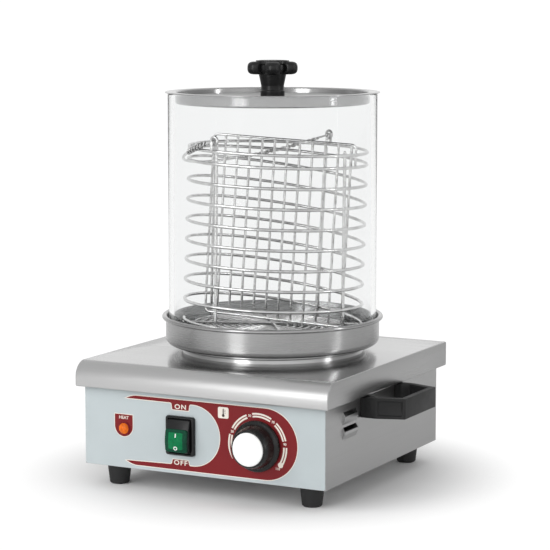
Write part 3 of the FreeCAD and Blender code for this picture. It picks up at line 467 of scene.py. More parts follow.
def finish(obj, body, replaces, sharp):
    """Shade an object and make it a piece of a body."""
    obj.data.shade_smooth()
    obj.data.set_sharp_from_angle(angle=math.radians(sharp))
    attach(obj, body)
    if replaces:
        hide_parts(*replaces)


def evaluated_mesh(obj):
    bpy.context.view_layer.update()
    return bpy.data.meshes.new_from_object(obj.evaluated_get(bpy.context.evaluated_depsgraph_get()))


def apply_modifiers(obj):
    mesh = evaluated_mesh(obj)
    obj.modifiers.clear()
    obj.data = mesh


def cut_away(obj, shape):
    """Subtract a closed shape from an object."""
    tool = loose(shape, "cutter")
    cut = obj.modifiers.new("cut", "BOOLEAN")
    cut.operation = "DIFFERENCE"
    cut.solver = "EXACT"
    cut.object = tool
    apply_modifiers(obj)
    bpy.data.objects.remove(tool)


def soften(obj, width, angle):
    """Bevel the edges that turn by more than an angle."""
    bevel = obj.modifiers.new("bevel", "BEVEL")
    bevel.width = width * MM
    bevel.segments = 3
    bevel.limit_method = "ANGLE"
    bevel.angle_limit = math.radians(angle)
    apply_modifiers(obj)


def arc(cx, cz, radius, start, stop, steps=8):
    turns = [math.radians(start + (stop - start) * i / steps) for i in range(steps + 1)]
    return [(cx + radius * math.cos(a), cz + radius * math.sin(a)) for a in turns]


def circle(steps):
    """Angles of evenly spaced points round a circle."""
    return [2 * math.pi * k / steps for k in range(steps)]


def rounded(corners, steps=5):
    """Closed outline of (u, v, fillet) corners, each fillet drawn as an arc."""
    out = []
    n = len(corners)
    for i, (u, v, fillet) in enumerate(corners):
        here = Vector((u, v))
        if fillet <= 0:
            out.append((u, v))
            continue
        back = (Vector(corners[i - 1][:2]) - here)
        on = (Vector(corners[(i + 1) % n][:2]) - here)
        turn = back.angle(on)
        cut = min(fillet / math.tan(turn / 2), 0.48 * back.length, 0.48 * on.length)
        radius = cut * math.tan(turn / 2)
        back.normalize()
        on.normalize()
        centre = here + (back + on).normalized() * (radius / math.sin(turn / 2))
        first = here + back * cut - centre
        swing = first.angle_signed(here + on * cut - centre)
        for k in range(steps + 1):
            a = -swing * k / steps
            out.append((centre.x + first.x * math.cos(a) - first.y * math.sin(a),
                        centre.y + first.x * math.sin(a) + first.y * math.cos(a)))
    return out


def box_corners(x0, x1, z0, z1, fillet):
    return [(x0, z0, fillet), (x1, z0, fillet), (x1, z1, fillet), (x0, z1, fillet)]


def polar(radius, degrees, z=0.0):
    return Vector((radius * math.cos(math.radians(degrees)), radius * math.sin(math.radians(degrees)), z))


# ---- housing --------------------------------------------------------------------------------
def plate_outline(inset):
    """Side view (y, z) of the top plate."""
    edge, top, bend = PLATE_HALF_Y - inset, PLATE_TOP - inset, PLATE_BEND - inset
    nose = arc(bend - edge, top - bend, bend, 180, 90, 20)
    return [(edge, SKIRT_BOTTOM), (-edge, SKIRT_BOTTOM)] + nose + [(edge, top)]


def plug_outline(radius, low, high):
    """Half section of a round cutter, which passes well above and below the sheet that it cuts."""
    return [(0, low), (radius, low), (radius, high), (0, high)]


def side_prism(outline, half):
    shape = Shape()
    shape.slab(*([(x, y, z) for y, z in outline] for x in (-half, half)))
    return shape


def make_top_plate():
    skin = 1.2
    below = 4
    materials = [STEEL_PLATE, STEEL_SIDE, STEEL_NOSE_PAINTED_LIGHT]
    body = loose(side_prism(plate_outline(0), PLATE_HALF_X), "top_plate_sheet", materials)
    soften(body, 1.4, 40)
    inner = [(y, z - below if z == SKIRT_BOTTOM else z) for y, z in plate_outline(skin)]
    cut_away(body, side_prism(inner, PLATE_HALF_X - skin))
    hole = Shape()
    hole.lathe(plug_outline(84.8, 100, 130))
    cut_away(body, hole)
    # Front-facing faces of the nose and skirt get the third, lighter steel: painted light on the front of the
    # sheet.
    for face in body.data.polygons:
        nose = face.normal.z < 0.97 and face.center.y < 0
        face.material_index = 1 if abs(face.normal.x) > 0.7 else 2 if nose else 0
    finish(body, "housing", ["top_plate"], 30)

    collar = Shape()
    collar.lathe([(84.9, 117.4), (87.9, 117.4), (87.7, 118.9), (87.5, 119.6), (87.5, 123.4), (87.0, 124.05),
                  (84.9, 124.05)], 160)
    collar.piece("top_plate_collar", "housing", "housing_steel", [STEEL_RIM])


def make_tank():
    """Boiling tank, with the rolled rim that the pan sits on."""
    bead = arc(89.35, 123.85, 1.65, -150, 90, 12)
    outline = ([(0, 58.0)] + arc(73.5, 68, 10, -90, 0, 10) + [(83.5, 124.15), (87.6, 124.15)] + bead
               + [(83.3, 125.5), (82.5, 124.7)] + arc(73.5, 68, 9, 0, -90, 10) + [(0, 59.0)])
    tank = Shape()
    tank.lathe(outline, 144)
    tank.piece("water_tank_shell", "housing", "pan_steel", [STEEL_RIM], ["water_tank"], 32)


# ---- pan, glass and lid ---------------------------------------------------------------------
def make_pan():
    bead = arc(PAN_R + 1.6, PAN_RIM_Z - 2.0, 2.0, -140, 95, 16)
    outline = ([(0, PAN_Z)] + arc(PAN_R - 6, PAN_Z + 6, 6, -90, 0, 12)
               + [(PAN_R, PAN_RIM_Z - 4.2), (PAN_R + 0.05, PAN_RIM_Z - 3.6)] + bead
               + [(PAN_R + 0.5, PAN_RIM_Z - 0.15), (PAN_R - 0.5, PAN_RIM_Z - 0.6)]
               + [(PAN_R - 1.0, PAN_RIM_Z - 1.6)]
               + arc(PAN_R - 6, PAN_Z + 6, 5, 0, -90, 10) + [(0, PAN_Z + 1.0)])
    pan = Shape()
    pan.lathe(outline, 192)
    body = loose(pan, "steam_pan_shell", [STEEL_ROUND])
    holes = Shape()
    holes.lathe(plug_outline(20, 120, 130), 64)
    for k in range(12):
        at = polar(58, 30 * k)
        place = Matrix.Translation((at.x, at.y + AXIS_Y, 0))
        holes.lathe(plug_outline(4, 120, 130), 24, place)
    cut_away(body, holes)
    finish(body, "pan", ["steam_pan"], 32)


def make_glass():
    inner = GLASS_R - GLASS_T
    tube = Shape()
    tube.lathe(rounded([(inner, GLASS_Z, 0.8), (GLASS_R, GLASS_Z, 3.0), (GLASS_R, GLASS_TOP, 1.8),
                        (inner, GLASS_TOP, 1.8)], 7), 192)
    tube.piece("glass_tube", "glass", "glass_tube", [GLASS], ["glass_cylinder"], 60)


def make_lid():
    t = 0.9
    low = GLASS_TOP - 10.5
    floor = LID_FLOOR_Z
    top = GLASS_TOP
    under = [(3.0, floor - t, 0), (86.1, floor - t, 0.8), (86.1, low, 1.0), (93.1, low, 1.9),
             (93.1, top, 0.9), (102.7, top, 0.45)]
    above = [(102.7, top + t, 0.45), (92.2, top + t, 1.6), (92.2, low + t, 1.2), (87.0, low + t, 1.0),
             (87.0, floor, 1.4), (3.0, floor, 0)]
    lid = Shape()
    lid.lathe(rounded(under + above), 192)
    # Faces of the recessed well round the knob get the second, darker steel: painted shade inside the recess.
    for i, face in enumerate(lid.faces):
        middle = sum((Vector(lid.verts[k]) for k in face), Vector()) / len(face)
        if math.hypot(middle.x, middle.y - AXIS_Y) < 92.15 and low + t < middle.z < top + 0.5:
            lid.index[i] = 1
    lid.piece("lid_pressing", "lid", "pan_steel", [STEEL_LID, STEEL_WELL_PAINTED_SHADE], ["lid_cover"], 32)


def star_radius(turn):
    """Radius of the star grip: five lobes blended into a round waist."""
    lobe_r, reach, waist, blend = 7.4, 17.7, 15.2, 2.4
    local = (turn + math.pi / 5) % (2 * math.pi / 5) - math.pi / 5
    across = reach * math.sin(local)
    lobe = reach * math.cos(local) + math.sqrt(lobe_r ** 2 - across ** 2) if abs(across) < lobe_r else 0.0
    return min(blend * math.log(math.exp(lobe / blend) + math.exp(waist / blend)) - 0.35, 25.1)


def make_lid_knob():
    """Five-lobed star grip: a swept outline for the head and a turned neck."""
    base = LID_FLOOR_Z
    middle = KNOB_TOP - 7.1
    turn0 = math.radians(LEAN_TOWARDS - 90)
    rows = [(9.6, -6.1), (5.2, -6.05), (2.9, -5.6), (1.2, -4.4), (0.35, -3.0), (0.0, -1.2),
            (0.0, 1.2), (0.35, 3.0), (1.2, 4.5), (2.8, 5.6), (4.6, 6.0), (7.6, 6.1)]
    rings = []
    for drop, height in rows:
        ring = []
        for a in circle(240):
            r = star_radius(a)
            r = r - drop * min(1.0, r / 20)
            ring.append((r * math.cos(a + turn0), AXIS_Y + r * math.sin(a + turn0), middle + height))
        rings.append(ring)
    knob = Shape()
    knob.stack(rings, (0, AXIS_Y, rings[0][0][2]), (0, AXIS_Y, rings[-1][0][2]))
    neck_top = KNOB_TOP - 12.0
    knob.lathe(rounded([(0, base, 0), (11.5, base, 0.8), (11.6, base + 5.4, 0.9), (10.9, base + 6.4, 0.5),
                        (10.9, base + 10.5, 2.0), (13.4, neck_top, 1.0), (0, neck_top, 0)]), 96)
    top = KNOB_TOP
    knob.lathe(rounded([(0, top - 3, 0), (16.0, top - 3, 0), (16.0, top, 0.6), (13.8, top, 0.3),
                        (13.4, top - 0.5, 0.3), (0, top - 0.4, 0)], 4), 96)
    knob.piece("lid_grip", "lid", "black_grip", [BLACK], ["lid_knob"], 40)


# ---- basket ---------------------------------------------------------------------------------
BASKET = Matrix.Translation((0, AXIS_Y, BASKET_Z)) @ Matrix.Rotation(LEAN, 4, polar(1, LEAN_TOWARDS + 90))
# Each upright: its angle at the foot and at the top, and whether it ends in a hook.
UPRIGHTS = ((-102.2, -106.5, True), (-9.2, -14.3, False), (85.0, 81.5, True), (165.1, 167.1, False))
HOOK_Z = 171.0
HOOK_R = 3.2
HOOK_TIP = 5.0


def placed(points):
    return [BASKET @ Vector(p) for p in points]


def coil_point(turns):
    """Point of the wound wire, in turns from its start: level in front, climbing behind."""
    whole = math.floor(turns)
    part = turns - whole
    low = whole * PITCH
    if part <= 0.5:
        return polar(COIL_R, LEAN_TOWARDS - 180 + 360 * part, low)
    rise = PITCH if whole < TURNS else TOP_RING_Z - 2 * WIRE - 0.1 - low
    swing = (part - 0.5) * 2 * math.pi
    reach = math.hypot(COIL_R, rise / 2)
    along = polar(COIL_R, LEAN_TOWARDS) * math.cos(swing)
    across = polar(reach, LEAN_TOWARDS + 90) * math.sin(swing)
    return along + across + Vector((0, 0, low + rise / 2 * (1 - math.cos(swing))))


def foot_height(degrees):
    slope = UPRIGHT_R * math.cos(math.radians(degrees - LEAN_TOWARDS)) * math.sin(LEAN)
    return (GLASS_Z + 0.3 - BASKET_Z + slope) / math.cos(LEAN)


def upright_ends(low_deg, high_deg, hooked):
    top = HOOK_Z if hooked else UPRIGHT_TOP
    return polar(UPRIGHT_R, low_deg, foot_height(low_deg)), polar(UPRIGHT_R, high_deg, top)


def upright_points(low_deg, high_deg, hooked):
    low, high = upright_ends(low_deg, high_deg, hooked)
    points = [low.lerp(high, k / 12) for k in range(13)]
    if hooked:
        out = polar(1, high_deg)
        along = (high - low).normalized()
        points += [high + out * HOOK_R * (1 - math.cos(a)) + along * HOOK_R * math.sin(a)
                   for a in [math.pi * k / 12 for k in range(1, 13)]]
        points.append(points[-1] - along * HOOK_TIP)
    return points


def hook_apex(index):
    low, high = upright_ends(*UPRIGHTS[index])
    return high + polar(HOOK_R, UPRIGHTS[index][1]) + (high - low).normalized() * HOOK_R


def divider_point(s, z):
    """Point of the upright grid, s along it and z up; it rakes a little and stands off the axis."""
    rake, offset, turn = 4.6, 4.0, -3.8
    along = polar(1, turn) * (s + rake * (z / DIVIDER_TOP - 0.5))
    return along + polar(1, turn + 90) * offset + Vector((0, 0, z))


def bent(points, bend, steps=6):
    """Straight runs joined by arcs, as a dense list of points."""
    pts = [Vector(p) for p in points]
    out = [pts[0]]
    for before, corner, after in zip(pts, pts[1:], pts[2:]):
        into = (corner - before).normalized()
        onto = (after - corner).normalized()
        turn = into.angle(onto)
        first = corner - into * (bend * math.tan(turn / 2))
        centre = corner + (onto - into).normalized() * (bend / math.cos(turn / 2))
        start = first - centre
        axis = into.cross(onto).normalized()
        out += [centre + Matrix.Rotation(turn * k / steps, 3, axis) @ start for k in range(steps + 1)]
    out.append(pts[-1])
    return out


def dome(shape, at, radius):
    """Rounded blob, used for a wire's ground end or a spot weld."""
    turns = [math.pi * k / 8 for k in range(9)]
    outline = [(abs(radius * math.sin(a)), radius * math.cos(a)) for a in turns]
    shape.lathe(outline, 12, Matrix.Translation(at), closed=False)


def wire_piece(shape, name, *replaces):
    shape.piece(name, "basket", "wire_steel", [WIRE_BRIGHT], replaces, 60)


def make_coil():
    coil = Shape()
    last_turn = TURNS + 0.9999
    count = 72 * (TURNS + 1)
    coil.tube(placed([coil_point(last_turn * k / count) for k in range(count + 1)]), WIRE, 14)
    for at in placed([coil_point(0), coil_point(last_turn)]):
        dome(coil, at, WIRE)
    wire_piece(coil, "basket_wound_wire", "basket_coil")

    ring = Shape()
    ring.tube(placed([polar(COIL_R, 2.5 * k, TOP_RING_Z) for k in range(144)]), WIRE, 14, closed=True)
    wire_piece(ring, "basket_rim_wire", "basket_top_ring")


def make_posts(welds):
    posts = Shape()
    for spec in UPRIGHTS:
        points = upright_points(*spec)
        posts.tube(placed(points), WIRE, 14)
        dome(posts, BASKET @ points[-1], WIRE)
        low, high = upright_ends(*spec)
        part = ((spec[0] - (LEAN_TOWARDS - 180)) / 360) % 1.0
        for turn in range(TURNS + 1):
            share = (coil_point(turn + part).z - low.z) / (high.z - low.z)
            crossing = low.lerp(high, share)
            outside = polar(WIRE, math.degrees(math.atan2(crossing.y, crossing.x)))
            dome(welds, BASKET @ (crossing + outside), 1.15)
    wire_piece(posts, "basket_post_wires", "basket_uprights")


def make_divider(welds):
    first, last, foot = -78.5, COIL_R - 5.2, 0.1
    points = [divider_point(last - 7, foot), divider_point(first, foot), divider_point(first, DIVIDER_TOP),
              divider_point(last, DIVIDER_TOP), divider_point(last, TURNS * PITCH + 2.0)]
    border = Shape()
    border.tube(placed(bent(points, 5.0)), ROD)
    dome(border, BASKET @ points[-1], ROD)
    wire_piece(border, "divider_border_wire", "divider_frame")

    rods = Shape()
    for k in range(1, 12):
        s = first + 14.0 * k
        low, high = divider_point(s, foot + ROD), divider_point(s, DIVIDER_TOP - ROD)
        rods.tube(placed([low, low.lerp(high, 0.5), high]), ROD)
        for at in (low, high):
            dome(welds, BASKET @ at, 1.5)
    wire_piece(rods, "divider_rod_wires", "divider_rods")


def make_basket_floor():
    """Flat spiral of half turns, each smaller than the last, on two crossed bars."""
    level, step = -WIRE - 2 * ROD - 1.0, 3.35
    radius, centre, side = 76.0, 0.0, 1
    path = []
    while radius > 10:
        path += [Vector((centre + side * radius * math.cos(a), side * radius * math.sin(a), level))
                 for a in [math.pi * k / 40 for k in range(40)]]
        centre -= side * step
        radius -= step
        side = -side
    spiral = Shape()
    spiral.tube(placed(path), 1.0, 10)
    wire_piece(spiral, "basket_floor_spiral", "basket_floor")

    bars = Shape()
    for degrees in (35.0, 125.0):
        ends = [polar(COIL_R, turn, -WIRE - ROD) for turn in (degrees, degrees + 180)]
        bars.tube(placed([ends[0], (ends[0] + ends[1]) / 2, ends[1]]), ROD)
        for at in ends:
            dome(bars, BASKET @ at, ROD)
    wire_piece(bars, "basket_cross_bars", "floor_bars")


def make_basket():
    welds = Shape()
    make_coil()
    make_posts(welds)
    make_divider(welds)
    wire_piece(welds, "basket_spot_welds")
    make_basket_floor()
    make_bail()


BAIL_R = 90.4
BAIL_DROP = 19.0
BAIL_LOOP = 3.6
BAIL_WIRE = 1.3


def bail_frame():
    """Middle of the hooks, axis from front to rear hook, folded direction and half span."""
    a, b = hook_apex(0), hook_apex(2)
    axis = (b - a).normalized()
    level = Vector((0, 0, 1)).cross(axis).normalized()
    out = Matrix.Rotation(math.radians(-BAIL_DROP), 3, axis) @ level
    return (a + b) / 2, axis, out, (b - a).length / 2


def bail_point(degrees, lift=0.0, spin=0.0):
    """Point near the bail's arc: lift is a radius about it, at the angle spin."""
    middle, axis, out, half = bail_frame()
    rise = BAIL_R - BAIL_LOOP
    radius = (half ** 2 + rise ** 2) / (2 * rise)
    a = math.radians(degrees)
    outward = out * math.cos(a) + axis * math.sin(a)
    centre = middle + out * (BAIL_R - radius)
    return centre + outward * (radius + lift * math.sin(spin)) + axis.cross(out) * (lift * math.cos(spin))


def bail_helix(start, span, steps, turns, lift, phase=0.0):
    """Points wound about the bail's arc; lift gives the winding's radius at each step."""
    return [bail_point(start + span * k / steps, lift(k), phase + 2 * math.pi * turns * k / steps)
            for k in range(steps + 1)]


def make_bail():
    """Bail wire: one strand, its tail twisted round it to the rear hook, and wraps at the front."""
    middle, axis, out, half = bail_frame()
    bail = Shape()
    tails = Shape()
    plain = [bail_point(-88 + 112 * k / 60) for k in range(61)]
    bail.tube(placed([middle - axis * half + out * BAIL_LOOP] + plain), [BAIL_WIRE] * 59 + [1.2, 1.1, 1.0])
    steps = 200

    def strand_lift(k):
        return 0.95 * min(1.0, k / 12, (steps - k) / 12 + 0.4)

    for shape, phase, wire in ((bail, 0.0, 0.95), (tails, math.pi, 0.9)):
        path = bail_helix(24.0, 60.0, steps, 8, strand_lift, phase)
        if shape is bail:
            path.append(middle + axis * half + out * BAIL_LOOP)
        shape.tube(placed(path), wire, 10)
        dome(shape, BASKET @ path[0], wire)
    wraps = bail_helix(-86, 22, 120, 7, lambda k: 2.1)
    tails.tube(placed(wraps), 0.75, 10)
    dome(tails, BASKET @ wraps[-1], 0.75)
    for side in (-half, half):
        ring = [middle + axis * side + (Matrix.Rotation(a, 3, axis) @ out) * BAIL_LOOP for a in circle(28)]
        bail.tube(placed(ring), BAIL_WIRE, closed=True)
    bail.piece("bail_wire", "bail", "wire_steel", [WIRE_BRIGHT], ["bail_handle"], 60)
    tails.piece("bail_twist", "bail", "tie_steel", [WIRE_DULL], ["bail_tails"], 60)


# ---- controls -------------------------------------------------------------------------------
def make_switch():
    """Bezel: a stack of rounded rectangles (half width, half height, corner, depth), closed on itself."""
    rings = [(15.0, 18.3, 2.4, 0), (15.0, 18.3, 2.4, 2.4), (14.7, 18.0, 2.2, 3.1), (14.1, 17.4, 2.0, 3.5),
             (12.7, 16.9, 1.6, 3.5), (12.3, 16.5, 1.3, 3.3), (12.1, 16.3, 1.2, 2.8), (12.1, 16.3, 1.2, 0)]
    verts = []
    for hw, hh, corner, depth in rings:
        edge = rounded(box_corners(SWITCH_X - hw, SWITCH_X + hw, SWITCH_Z - hh, SWITCH_Z + hh, corner), 6)
        verts += [(x, PANEL_Y - depth, z) for x, z in edge]
    bezel = Shape()
    bezel.add(verts, ring_faces(len(rings), len(edge), closed=True))
    bezel.piece("switch_frame", "housing", "black_control", [BLACK], ["switch_bezel"])


def rest_tilt(points):
    turn = Matrix.Translation((SWITCH_X, PANEL_Y, SWITCH_Z)) @ Matrix.Rotation(math.radians(-8.0), 4, "X")
    return [turn @ Vector(p) for p in points]


def rocker_face(z):
    """Front face of the rocker at a height, before the tilt."""
    return -8.5 + max(0.0, abs(z) - 5) * 2.3 / 9.4


def make_rocker():
    hw = 11.5
    half = [(-6.2, 14.4, 1.2), (-8.5, 5.0, 9.0)]
    rear = [(-5.0, -15.4, 0.6), (0.5, -13.5, 0.5), (3.4, -7.0, 0.8)]
    mirrored = [(y, -z, fillet) for y, z, fillet in reversed(half)] + rear
    profile = rounded(half + mirrored + [(y, -z, fillet) for y, z, fillet in reversed(rear)])
    n = len(profile)
    ends = [(0.0, 0.8), (0.25, 0.25), (0.9, 0.0)]
    columns = [(inset - hw, pull) for inset, pull in ends]
    columns += [(hw - inset, pull) for inset, pull in reversed(ends)]
    verts = []
    for x, pull in columns:
        scale = 1 - pull / 9.0
        verts += rest_tilt([(x, y * scale, z * (1 - pull / 16.0)) for y, z in profile])
    faces = [tuple(range(n)), tuple(reversed(range((len(columns) - 1) * n, len(columns) * n)))]
    for i in range(len(columns) - 1):
        a, b = i * n, (i + 1) * n
        faces += [(a + k, b + k, b + (k + 1) % n, a + (k + 1) % n) for k in range(n)]
    rocker = Shape()
    rocker.add(verts, faces)
    rocker.piece("rocker_body", "rocker", "black_control", [BLACK], ["switch_rocker"], 40)

    lens_piece = Shape()
    cushion(lens_piece, 11.3, -15.1, 6.2, 2.4, 2.2, 0)
    cushion(lens_piece, 7.7, -12.4, 3.2, 1.2, 2.5, 1)
    lens_piece.piece("rocker_lens", "rocker", "lens_green", [LENS_RIM, LENS_GREEN], ["switch_lens"])

    marks = Shape()
    proud, thick, ring_z = 2.6, 0.3, -11.4
    bar = [(-0.5, -1.4), (0.5, -1.4), (0.5, 2.2), (-0.5, 2.2)]
    marks.slab(*(on_rocker(bar, depth) for depth in (proud, proud - thick)))
    outer, inner = ([(rx * math.cos(a), ring_z + rz * math.sin(a)) for a in circle(28)]
                    for rx, rz in ((2.0, 1.8), (1.2, 1.0)))
    verts = [p for depth in (proud, proud - thick) for loop in (outer, inner) for p in on_rocker(loop, depth)]
    marks.add(verts, band_faces(28, closed=True))
    marks.piece("rocker_marks", "rocker", "lens_green", [INK_WHITE])


def on_rocker(outline, proud):
    return rest_tilt([(x, rocker_face(z) - proud, z) for x, z in outline])


def band_faces(n, closed):
    """Faces of a band with four edges of n points: front left, front right, back left, back right."""
    faces = []
    for i in range(n if closed else n - 1):
        j = (i + 1) % n
        faces += [(i, j, n + j, n + i), (2 * n + i, 3 * n + i, 3 * n + j, 2 * n + j),
                  (i, 2 * n + i, 2 * n + j, j), (n + i, n + j, 3 * n + j, 3 * n + i)]
    return faces


def cushion(shape, half, low, high, corner, proud, material):
    """Raised pad with round corners that follows the rocker's face."""
    roll, drop, sunk = 0.7, 0.5, 0.3
    turns = [math.pi / 2 * k / 5 for k in range(6)]
    curve = [(corner * (1 - math.cos(a)), half - corner + corner * math.sin(a)) for a in turns]
    rows = [(low + rise, w) for rise, w in curve]
    rows += [(low + corner + (high - low - 2 * corner) * k / 8, half) for k in range(1, 8)]
    rows += [(high - rise, w) for rise, w in reversed(curve)]
    last = len(rows) - 1
    front, back = [], []
    for i, (z, w) in enumerate(rows):
        for x in (-w, roll - w, w - roll, w):
            edge = i in (0, last) or abs(x) == w
            front.append((x, rocker_face(z) - (proud - drop if edge else proud), z))
            back.append((x, rocker_face(z) + sunk, z))
    count = len(front)
    faces = []
    for i in range(last):
        for a in range(i * 4, i * 4 + 3):
            faces += [(a, a + 1, a + 5, a + 4), (a + count, a + count + 4, a + count + 5, a + count + 1)]
    right, left = [4 * i + 3 for i in range(last + 1)], [4 * i for i in range(last, 0, -1)]
    rim = [0, 1, 2] + right + [4 * last + 2, 4 * last + 1] + left
    faces += [(a, a + count, b + count, b) for a, b in zip(rim, rim[1:] + rim[:1])]
    shape.add(rest_tilt(front + back), faces, material)


def facing(x, z):
    """Local +Z points out of the front panel at (x, z)."""
    return Matrix.Translation((x, PANEL_Y, z)) @ Matrix.Rotation(math.radians(90), 4, "X")


def make_lamp():
    """Faceted amber jewel in a turned rim."""
    place = facing(LAMP_X, LAMP_Z)
    lamp = Shape()
    rim = [(0, 0, 0), (6.3, 0, 0), (6.3, 1.2, 0.4), (5.5, 1.25, 0.2), (5.3, 0.9, 0.1), (0, 0.9, 0)]
    lamp.lathe(rounded(rim, 3), 48, place, material=1)
    n = 10
    rows = [(5.3, 0.9), (5.0, 1.7), (3.6, 2.7), (1.7, 3.3)]
    verts = []
    for i, (r, z) in enumerate(rows):
        turns = [2 * math.pi * (k + 0.5 * (i % 2)) / n for k in range(n)]
        verts += [place @ Vector((r * math.cos(a), r * math.sin(a), z)) for a in turns]
    faces = []
    for i in range(len(rows) - 1):
        a, b = i * n, (i + 1) * n
        for k in range(n):
            k2 = (k + 1) % n
            if i % 2 == 0:
                faces += [(a + k, a + k2, b + k), (a + k2, b + k2, b + k)]
            else:
                faces += [(a + k, a + k2, b + k2), (a + k, b + k2, b + k)]
    faces += [(b + k, b + (k + 1) % n, len(verts)) for k in range(n)]
    lamp.add(verts + [place @ Vector((0, 0, 3.5))], faces)
    lamp.piece("lamp_jewel", "housing", "lens_amber", [LENS_AMBER, INK_RED], ["lamp_lens"], 5)


def make_dial():
    """Dial skirt and fluted grip, as (radius, depth, flute) rings, with its cap and pointer."""
    flutes = 24
    rows = [(23.2, 1.0, 0), (23.5, 1.3, 0), (23.5, 3.8, 0), (23.2, 4.4, 0), (22.4, 4.9, 0), (21.2, 5.3, 0),
            (20.5, 5.9, 0.1), (20.2, 6.6, 0.12), (19.6, 9.5, 0.16), (18.6, 13.5, 0.14), (17.8, 16.6, 0.08),
            (17.3, 17.9, 0.1), (16.8, 18.6, 0), (16.2, 18.9, 0), (15.6, 18.9, 0), (15.5, 17.8, 0)]
    place = facing(DIAL_X, DIAL_Z)
    rings = []
    for radius, depth, flute in rows:
        ring = []
        for a in circle(240):
            r = radius - flute * max(0.0, math.cos(flutes * a)) ** 2
            ring.append(place @ Vector((r * math.cos(a), r * math.sin(a), depth)))
        rings.append(ring)
    dial = Shape()
    dial.stack(rings, *(place @ Vector((0, 0, rows[i][1])) for i in (0, -1)))
    dial.piece("dial_body", "dial", "black_control", [BLACK_DIAL], ["thermostat_knob"], 38)

    cap = Shape()
    disc = [(0, 17.85, 0), (15.4, 17.85, 0), (15.4, 19.3, 0.5), (14.6, 19.75, 0.4), (0, 19.8, 0)]
    cap.lathe(rounded(disc, 4), 96, place)
    cap.piece("dial_cap", "dial", "cap_silver", [CAP], ["knob_cap"])

    pointer = Shape()
    turn = Matrix.Rotation(math.radians(208), 4, "Z")
    top = [(20.9, -0.55, 5.75), (23.3, -0.75, 4.75), (23.3, 0.75, 4.75), (20.9, 0.55, 5.75)]
    pointer.slab(*([place @ turn @ Vector((x, y, z - drop)) for x, y, z in top] for drop in (0.0, 0.9)))
    pointer.piece("dial_pointer", "dial", "cap_silver", [INK_WHITE])


def make_handles():
    """Square-section loop handles: softened edges and a sunk panel on each slanted arm."""
    wall, neck, out = 126.0, 140.0, 167.0
    middle, bar, foot, thick, pad = -9.5, 35.0, 44.0, 6.0, 12.0
    low, high, margin = 74.5, 93.5, 2.8
    outside = [(wall, foot), (neck, foot), (out, bar)]
    inside = [(out - thick, bar - thick + 0.5), (neck - 1, foot - thick - 1), (wall + 7, foot - pad),
              (wall, foot - pad)]
    outline = (outside + [(x, -y) for x, y in reversed(outside)]
               + [(x, -y) for x, y in reversed(inside)] + inside)
    arm = Vector((out - neck, bar - foot, 0)).normalized()
    sunk = ((2.6, 3.0), (26.0, 3.0), (25.2, -1.7), (3.4, -1.7))
    for side, name in ((1, "right"), (-1, "left")):
        block = Shape()
        block.slab(*([(side * x, middle + y, z) for x, y in outline] for z in (low, high)))
        body = loose(block, "side_handle_" + name, [BLACK_SATIN])
        panels = Shape()
        for end in (1, -1):
            corners = [(side * (neck + arm.x * along - arm.y * deep),
                        middle + end * (foot + arm.y * along + arm.x * deep)) for along, deep in sunk]
            panels.slab(*([(x, y, z) for x, y in corners] for z in (low + margin, high - margin)))
        cut_away(body, panels)
        soften(body, 0.7, 30)
        finish(body, "housing", ["handle_" + name], 35)


# ---- printed front --------------------------------------------------------------------------
INK_T = 0.06


def ink_layer(level):
    back = PANEL_Y - level * INK_T
    return back - INK_T, back


def ink_piece(shape, name, ink):
    shape.piece(name, "housing", "overlay_print", [ink])


def stroke(shape, path, width, closed=False):
    """Line along an (x, z) path, of one width or of a width for each point."""
    pts = [Vector(p) for p in path]
    n = len(pts)
    widths = width if isinstance(width, list) else [width] * n
    left, right = [], []
    for i, p in enumerate(pts):
        before = pts[i - 1] if closed or i else pts[i]
        after = pts[(i + 1) % n] if closed or i < n - 1 else pts[i]
        into = (p - before).normalized() if (p - before).length > 1e-6 else None
        onto = (after - p).normalized() if (after - p).length > 1e-6 else None
        tangent = ((into or onto) + (onto or into)).normalized()
        normal = Vector((-tangent.y, tangent.x))
        share = 1.0
        if into is not None and onto is not None:
            share = 1.0 / max(0.5, abs(normal.dot(Vector((-into.y, into.x)))))
        left.append(p + normal * (widths[i] / 2 * share))
        right.append(p - normal * (widths[i] / 2 * share))
    verts = [(p.x, y, p.y) for y in ink_layer(1) for side in (left, right) for p in side]
    faces = band_faces(n, closed)
    if not closed:
        faces += [(i, n + i, 3 * n + i, 2 * n + i) for i in (0, n - 1)]
    shape.add(verts, faces)


def fill(shape, outline, level):
    shape.slab(*([(x, y, z) for x, z in outline] for y in ink_layer(level)))


def field_outline():
    """Closed edge of the dark red field: a long D with a light tongue let into its left."""
    left, top_z, low_z = -82.0, 86.9, 27.9
    ease = [k / 8 for k in range(9)]
    top = [(left + 13.0 * t, top_z + 3.5 * math.sin(math.pi / 2 * t)) for t in ease]
    low = [(left + 13.0 * t, low_z - 3.9 * math.sin(math.pi / 2 * t)) for t in ease]
    right = arc(65.3, 57.2, 33.2, 90, -90, 40)
    tongue = arc(-9.6, 57.9, 28.5, -90, 90, 36)
    tab_low = rounded([(-33.0, 29.4, 0), (-32.0, 30.2, 0.6), (-31.2, 34.2, 1.0), (-14.0, 34.2, 1.0),
                       (-13.2, 30.2, 0.6), (-12.2, 29.4, 0)], 4)
    tab_top = rounded([(-11.6, 86.4, 0), (-12.6, 85.6, 0.6), (-13.4, 80.2, 1.0), (-31.4, 80.2, 1.0),
                       (-32.2, 85.6, 0.6), (-33.2, 86.4, 0)], 4)
    inner = [(-78.0, 28.3)] + tab_low + tongue + tab_top + [(-78.0, 86.6)]
    return top + right + list(reversed(low)) + inner


